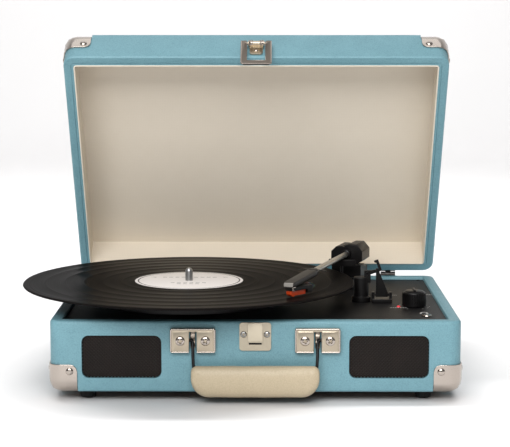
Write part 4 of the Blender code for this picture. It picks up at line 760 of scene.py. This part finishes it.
def makeRecord():
    low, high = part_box("record")
    z0, z1 = low.z / mm, high.z / mm
    r, hole, label = (high.x - low.x) / 2 / mm, disc["spindleHole"], disc["labelRadius"]
    track = z1 - disc["sunk"]                          # the grooved part lies lower than rim and label
    land = track + disc["land"]
    profile = [(hole, z1), (label + 1.2, z1), (label + 2.2, track)]
    for band in disc["bands"]:                         # smooth lands between the tracks
        profile += [(band - 0.9, track), (band - 0.6, land), (band, land), (band + 0.3, track)]
    profile += [(r - 5, track), (r - 3.6, z1 - 0.02), (r - 1.6, z1), (r - 0.6, z1 - 0.25), (r, (z0 + z1) / 2)]
    profile += [(r - 0.6, z0 + 0.25), (r - 1.6, z0), (hole, z0)]
    addPiece("record_disc", turned(profile, 192), grooves, turntableFrame, "record", ("record",), sharp=50)
    sticker = [(hole, z1 - 0.1), (hole, z1 + 0.08), (label - 0.3, z1 + 0.08), (label, z1 - 0.1)]
    addPiece("record_label", turned(sticker, 96), labelPaper, turntableFrame, "record")
    ink = bmesh.new()                                  # bars stand for print, with no letters
    for y, half, pieces in disc["print"]:
        for i in range(pieces):
            x = -half + 2 * half * (i + 0.5) / pieces
            wide = half / pieces * 0.62
            softBox(x - wide, x + wide, y - 0.55, y + 0.55, z1 + 0.06, z1 + 0.16, 0.03, bm=ink)
    for way in (-1, 1):
        slab([(way * 31, 16.4), (way * 35.5, 17), (way * 31, 17.6)], z1 + 0.06, z1 + 0.15, bm=ink)
    addPiece("label_print", ink, blackInk, turntableFrame, "record")


def makeTurntable():
    refined("platter", absBlack, 0.5)
    mat = refined("slip_mat", felt, 0.4)
    refined("spindle", steel, 0.2)
    makeRecord()
    for node, material in (("spindle_bearing", turnedBrass), ("motor", steel), ("motor_pulley", turnedBrass),
                           ("drive_belt", rubber)):
        refined(node, material, 0.2)


arm = {"tubeHole": 2.9, "bushing": 4.4, "bushingAt": 12, "shellStart": 125, "shellEnd": 207, "liftHalf": 14,
       "liftDeep": 2.9, "liftThick": 0.9, "leads": ("#5A1E18", "#6E6B66", "#1E3350", "#1D3A26"),
       "leadRadius": 0.35, "leadPitch": 1.6, "cartridgeAt": (-1.9, -200)}


def makeHousingTrim(z):
    hole, radius = arm["tubeHole"], arm["bushing"]
    profile = [(hole, -1.5), (radius, -1.5), (radius + 0.4, 0), (radius, 3.4), (3.4, 4.2), (hole, 4.2)]
    ring = turned(profile, 32, matrix=facing((0, -arm["bushingAt"], z), (0, -1, 0)))
    addPiece("tonearm_bushing", ring, absBlack, armFrame, "tonearm_housing")
    cap = bmesh.new()                                  # lid of the housing with a parting line round it
    softBox(1.5, 10, -11.2, 17.2, z + 8.9, z + 9.5, 0.25, bm=cap)
    softBox(-9.5, -3.5, -11.2, 17.2, z + 6.9, z + 7.4, 0.2, bm=cap)
    addPiece("tonearm_cover_plates", cap, absBlack, armFrame, "tonearm_housing")


def makeFingerLift(z):                                 # thin plate across the shell, drooping to both sides
    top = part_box("headshell")[1].z / mm
    y, wing = -arm["shellStart"] - 9, []
    for i in range(17):
        x = -arm["liftHalf"] + 2 * arm["liftHalf"] * i / 16
        deep, low = arm["liftDeep"] - abs(x) * 0.11, z + (top - z - 0.5 - 0.006 * x * x)
        high = low + arm["liftThick"]
        wing.append([(x, y - deep, low), (x, y + deep, low), (x, y + deep, high), (x, y - deep, high)])
    addPiece("headshell_finger_lift", skin(wing), absBlack, armFrame, "headshell", smooth=1)


def makeTonearm():
    for node, edge in (("tonearm_base", 0.5), ("tonearm_yoke", 0.5), ("tonearm_housing", 0.6),
                       ("arm_lifter", 0.4), ("arm_rest", 0.5), ("rest_clip", 0.3), ("cue_bracket", 0.4),
                       ("cue_lever", 0.35), ("cartridge", 0.4)):
        refined(node, absBlack, edge)
    refined("tonearm_tube", tubeAluminium, 0)
    refined("headshell", absGrey, 0.4)
    refined("stylus", orangeStyrene, 0.35)
    z, end = armHeight, arm["shellEnd"]
    makeHousingTrim(z)
    makeFingerLift(z)
    front = softBox(-4.1, 4.1, -end - 0.5, -end + 3.6, z - 2.2, z + 1.3, 0.4)
    addPiece("headshell_end", front, absPale, armFrame, "headshell")
    x, y = arm["cartridgeAt"]
    place = armFrame @ Matrix.Translation((x * mm, y * mm, 0)) @ Matrix.Rotation(cartridgeTurn, 4, "Z")
    clip = bmesh.new()
    for way in (-1, 1):
        softBox(way * 4.0 - 0.5, way * 4.0 + 0.5, 1.5, 4.5, recordTop + 5.4, z - 3.2, 0.15, bm=clip)
    softBox(-4.4, 4.4, 0.6, 1.4, recordTop + 5.6, z - 3.4, 0.15, bm=clip)
    addPiece("cartridge_clip", clip, nickel, place, "cartridge")
    steps = [k / 10 for k in range(11)]
    for i, colour in enumerate(arm["leads"]):          # four wires looping up behind the cartridge
        lead = mouldedPlastic("leadInsulation" + colour[1:], colour, colour, 0.45, 0.5, 0.005)
        x = -2.4 + arm["leadPitch"] * i
        path = [(x, 27 + 5 * sin(t * pi), recordTop + 4.2 + (z - recordTop - 7) * t) for t in steps]
        addPiece(f"cartridge_lead_{i}", tube(path, arm["leadRadius"], 8), lead, place, "cartridge")
    screws = bmesh.new()
    panScrew(screws, (10.5, -3, z - 13.4), (0, 0, 1), 1.6, 0.8)
    panScrew(screws, (-7, 17.9, z - 1), (0, 1, 0), 2.0, 0.9)
    addPiece("tonearm_screw", screws, steel, armFrame, "tonearm_housing")


controls = {"ribs": 40, "ink": 0.12, "dash": 6.4, "knobAt": (143.6, 89.5), "scale": 14,
            "phones": (149.5, 56.5), "words": ((130, 151), (163.6, 154)), "redSocket": -14, "whiteSocket": 0,
            "socketScrew": 23}


def inkBar(bm, x0, x1, y0, y1):
    softBox(x0, x1, y0, y1, deckTop - 0.02, deckTop + controls["ink"], 0.03, bm=bm)


def makeControls():
    refined("volume_knob", absBlack, 0.5)
    low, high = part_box("volume_knob")
    radius, top = (high.x - low.x) / 2 / mm, high.z / mm
    ribs = bmesh.new()
    for i in range(controls["ribs"]):
        a = 2 * pi * i / controls["ribs"]
        outline = [(radius - 0.5, -0.32), (radius + 0.28, -0.2), (radius + 0.28, 0.2), (radius - 0.5, 0.32)]
        turnedOut = [(x * cos(a) - y * sin(a), x * sin(a) + y * cos(a)) for x, y in outline]
        slab(turnedOut, deckTop + 1.2, top - 1.6, bm=ribs)
    addPiece("knob_ribs", ribs, absBlack, knobFrame, "volume_knob")
    cap = turned([(0, top - 0.3), (radius - 2.2, top - 0.3), (radius - 2.2, top + 0.4),
                  (radius - 2.7, top + 0.8), (0, top + 0.8)], 48)
    softBox(-1.1, 1.1, -radius + 2.8, radius - 2.8, top + 0.6, top + 2.2, 0.4, bm=cap)
    addPiece("knob_cap", cap, absBlack, knobFrame, "volume_knob")
    pointer = softBox(-0.45, 0.45, -radius + 3.2, -radius + 8, top + 2.1, top + 2.35, 0.1)
    addPiece("knob_pointer", pointer, absGrey, knobFrame, "volume_knob")
    refined("power_led", redLens, 0)
    refined("headphone_jack", nickel, 0.25)
    refined("speed_selector", absBlack, 0.4)
    refined("volume_control", steel, 0.2)
    ink = bmesh.new()
    for x, y in controls["words"]:                     # dashes where the real deck has words
        for i in range(4):
            start = x - controls["dash"] / 2 + i * controls["dash"] / 4
            inkBar(ink, start, start + controls["dash"] / 4 - 0.5, y - 0.5, y + 0.5)
    for i in range(7):
        inkBar(ink, 121.5 + i * 2.2, 123.1 + i * 2.2, 82.6, 83.6)
    for i in range(11):                                # scale round the knob
        a = radians(240 - 30 * i)
        x, y = (middle + controls["scale"] * way for middle, way in zip(controls["knobAt"], (cos(a), sin(a))))
        inkBar(ink, x - 0.4, x + 0.4, y - 0.4, y + 0.4)
    for i in range(3):
        inkBar(ink, 73.2 + 6 * i, 74.8 + 6 * i, 228, 229.2)
    x, y = controls["phones"]
    arch = arc(x, y, 3.0, 0, pi, 12) + arc(x, y, 2.2, pi, 0, 12)       # headphone sign: a band and two pads
    slab(arch, deckTop - 0.02, deckTop + controls["ink"], bm=ink)
    inkBar(ink, x - 3.6, x - 2.0, y - 3.1, y + 0.1)
    inkBar(ink, x + 2.0, x + 3.6, y - 3.1, y + 0.1)
    addPiece("deck_marks", ink, whiteInk, caseFrame, "deck_plate")
    screws = bmesh.new()
    half = caseWidth / 2
    for x in (-half + 16, half - 16):
        for y in (16, caseDepth - 16):
            panScrew(screws, (x, y, deckTop), (0, 0, 1), 1.9, 0.7, 15)
    addPiece("deck_screws", screws, lacquer, caseFrame, "deck_plate")


def makeRear():
    refined("rear_sockets", absBlack, 0.3)
    refined("circuit_board", solderMask, 0.15)
    low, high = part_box("rear_sockets")
    middle, face, height = (low.x + high.x) / 2 / mm, low.y / mm + 1.5, (low.z + high.z) / 2 / mm
    for offset, material, word in ((controls["redSocket"], redRing, "red"),
                                   (controls["whiteSocket"], whiteRing, "white")):
        ring = turned([(4.25, 0), (5.6, 0), (5.6, 0.9), (5.3, 1.2), (4.25, 1.2)], 32,
                      matrix=facing((middle + offset, face, height), (0, 1, 0)))
        addPiece("socket_ring_" + word, ring, material, Matrix.Identity(4), "rear_sockets")
    screws = bmesh.new()
    for way in (-1, 1):
        panScrew(screws, (middle + way * controls["socketScrew"], face, height), (0, 1, 0), 1.5, 0.7, 10)
    addPiece("socket_screws", screws, steel, Matrix.Identity(4), "rear_sockets")


for stage, make in (("case", makeCase), ("speakers", makeSpeakers), ("handle", makeHandle),
                    ("latch", makeLatch), ("lid", makeLid), ("turntable", makeTurntable),
                    ("tonearm", makeTonearm), ("controls", makeControls), ("rear", makeRear)):
    make()
    print("made", stage)


# room: pale floor, soft light, camera

room = {"front": 4.0, "back": 2.2, "side": 5.0, "curve": 0.8, "wall": 4.0, "world": 0.3}         # metres
aim = (0, 0, 0.12)                                     # middle of the object
lamps = {                                              # place, aim, width and height in metres, watts
    "topSoftbox": ((-0.2, -0.6, 1.9), aim, (1.5, 0.9), 12),
    "keySoftbox": ((-0.25, -1.9, 1.3), aim, (1.7, 0.9), 40),
    "topStrip": ((0.0, 0.9, 1.7), aim, (1.8, 0.5), 3),
    "backdropWash": ((0.0, 0.4, 2.6), (0, 2.6, 0.2), (3.2, 0.5), 110)}
flags = {                                              # place, width and height in metres
    "flagLeft": ((-1.5, -1.0, 0.45), 0.7, 1.2),
    "flagRight": ((1.6, -1.2, 0.45), 0.6, 1.2),
    "flagFront": ((0.3, -2.3, 0.16), 2.2, 0.3)}
view = {"fromCase": (8.79, -1398.36, 328.91), "pitch": 82.91, "turn": 0.37, "lens": 117.15, "sensor": 36}


def addToScene(name, data):
    made = bpy.data.objects.new(name, data)
    bpy.context.scene.collection.objects.link(made)
    return made


def areaLight(name, place, target, size, power):
    data = bpy.data.lights.new(name, "AREA")
    data.shape = "RECTANGLE"
    data.size, data.size_y = size
    data.energy = power
    made = addToScene(name, data)
    made.location = place
    made.rotation_euler = (Vector(target) - Vector(place)).to_track_quat("-Z", "Y").to_euler()
    return made


def flag(name, place, wide, high, card):
    # dark card that only reflections see, so that plated metal has something to mirror
    turn = (Vector(aim) - Vector(place)).to_track_quat("-Z", "Y").to_matrix().to_4x4()
    corners = [(-wide / 2, -high / 2, 0), (wide / 2, -high / 2, 0), (wide / 2, high / 2, 0),
               (-wide / 2, high / 2, 0)]
    bm = bmesh.new()
    bm.faces.new([bm.verts.new(Matrix.Translation(place) @ turn @ Vector(c)) for c in corners])
    mesh = bpy.data.meshes.new(name)
    bm.to_mesh(mesh)
    bm.free()
    mesh.materials.append(card)
    made = addToScene(name, mesh)
    made.visible_camera = made.visible_diffuse = made.visible_shadow = False


def makeBackdrop():                                    # floor that curves up into a wall, with no edge to see
    steps = [radians(degrees) for degrees in range(0, 91, 9)]
    bend = [(room["back"] + room["curve"] * sin(a), room["curve"] * (1 - cos(a))) for a in steps]
    sweep = [(-room["front"], 0.0)] + bend + [(room["back"] + room["curve"], room["wall"])]
    bm = bmesh.new()
    rows = [[bm.verts.new((x, y, z)) for x in (-room["side"], room["side"])] for y, z in sweep]
    for low, high in zip(rows, rows[1:]):
        bm.faces.new((low[0], low[1], high[1], high[0]))
    mesh = bpy.data.meshes.new("backdrop")
    bm.to_mesh(mesh)
    bm.free()
    mesh.shade_smooth()
    made, tree, shader, place = startMaterial("paintedWhiteBackdrop", "#D4D3D3", 0.6)
    cloud = addNode(tree, "TexNoise", {"Scale": 3.0, "Detail": 2.0}, {"Vector": place})
    addNode(tree, "Mix", {"data_type": "RGBA", 6: hexColour("#D2D1D1"), 7: hexColour("#D7D6D6")},
            {0: cloud.outputs["Fac"]}, shader.inputs["Base Color"])
    mesh.materials.append(made)
    backdrop = addToScene("backdrop", mesh)
    return backdrop


def makeRoom():
    scene = bpy.context.scene
    scene.view_settings.view_transform = "Standard"
    world = bpy.data.worlds.new("studio")
    scene.world = world
    world.use_nodes = True
    background = world.node_tree.nodes["Background"]
    background.inputs["Color"].default_value = (1, 1, 1, 1)
    background.inputs["Strength"].default_value = room["world"]
    washed = bpy.data.collections.new("washed")        # the wash is meant for the backdrop alone
    washed.objects.link(makeBackdrop())
    made = {name: areaLight(name, *values) for name, values in lamps.items()}
    made["backdropWash"].light_linking.receiver_collection = washed
    card = mouldedPlastic("mattBlackCard", "#0A0A0A", "#101010", 0.9, 1.0, 0.01)
    for name, values in flags.items():
        flag(name, *values, card)


def makeCamera():
    data = bpy.data.cameras.new("camera")
    data.sensor_width = view["sensor"]
    data.lens = view["lens"]
    data.clip_start, data.clip_end = 0.05, 40
    made = addToScene("camera", data)
    made.location = caseOrigin + Vector(view["fromCase"]) * mm
    made.rotation_euler = (radians(view["pitch"]), 0, radians(view["turn"]))
    bpy.context.scene.camera = made


makeRoom()
makeCamera()
print("room and camera made")
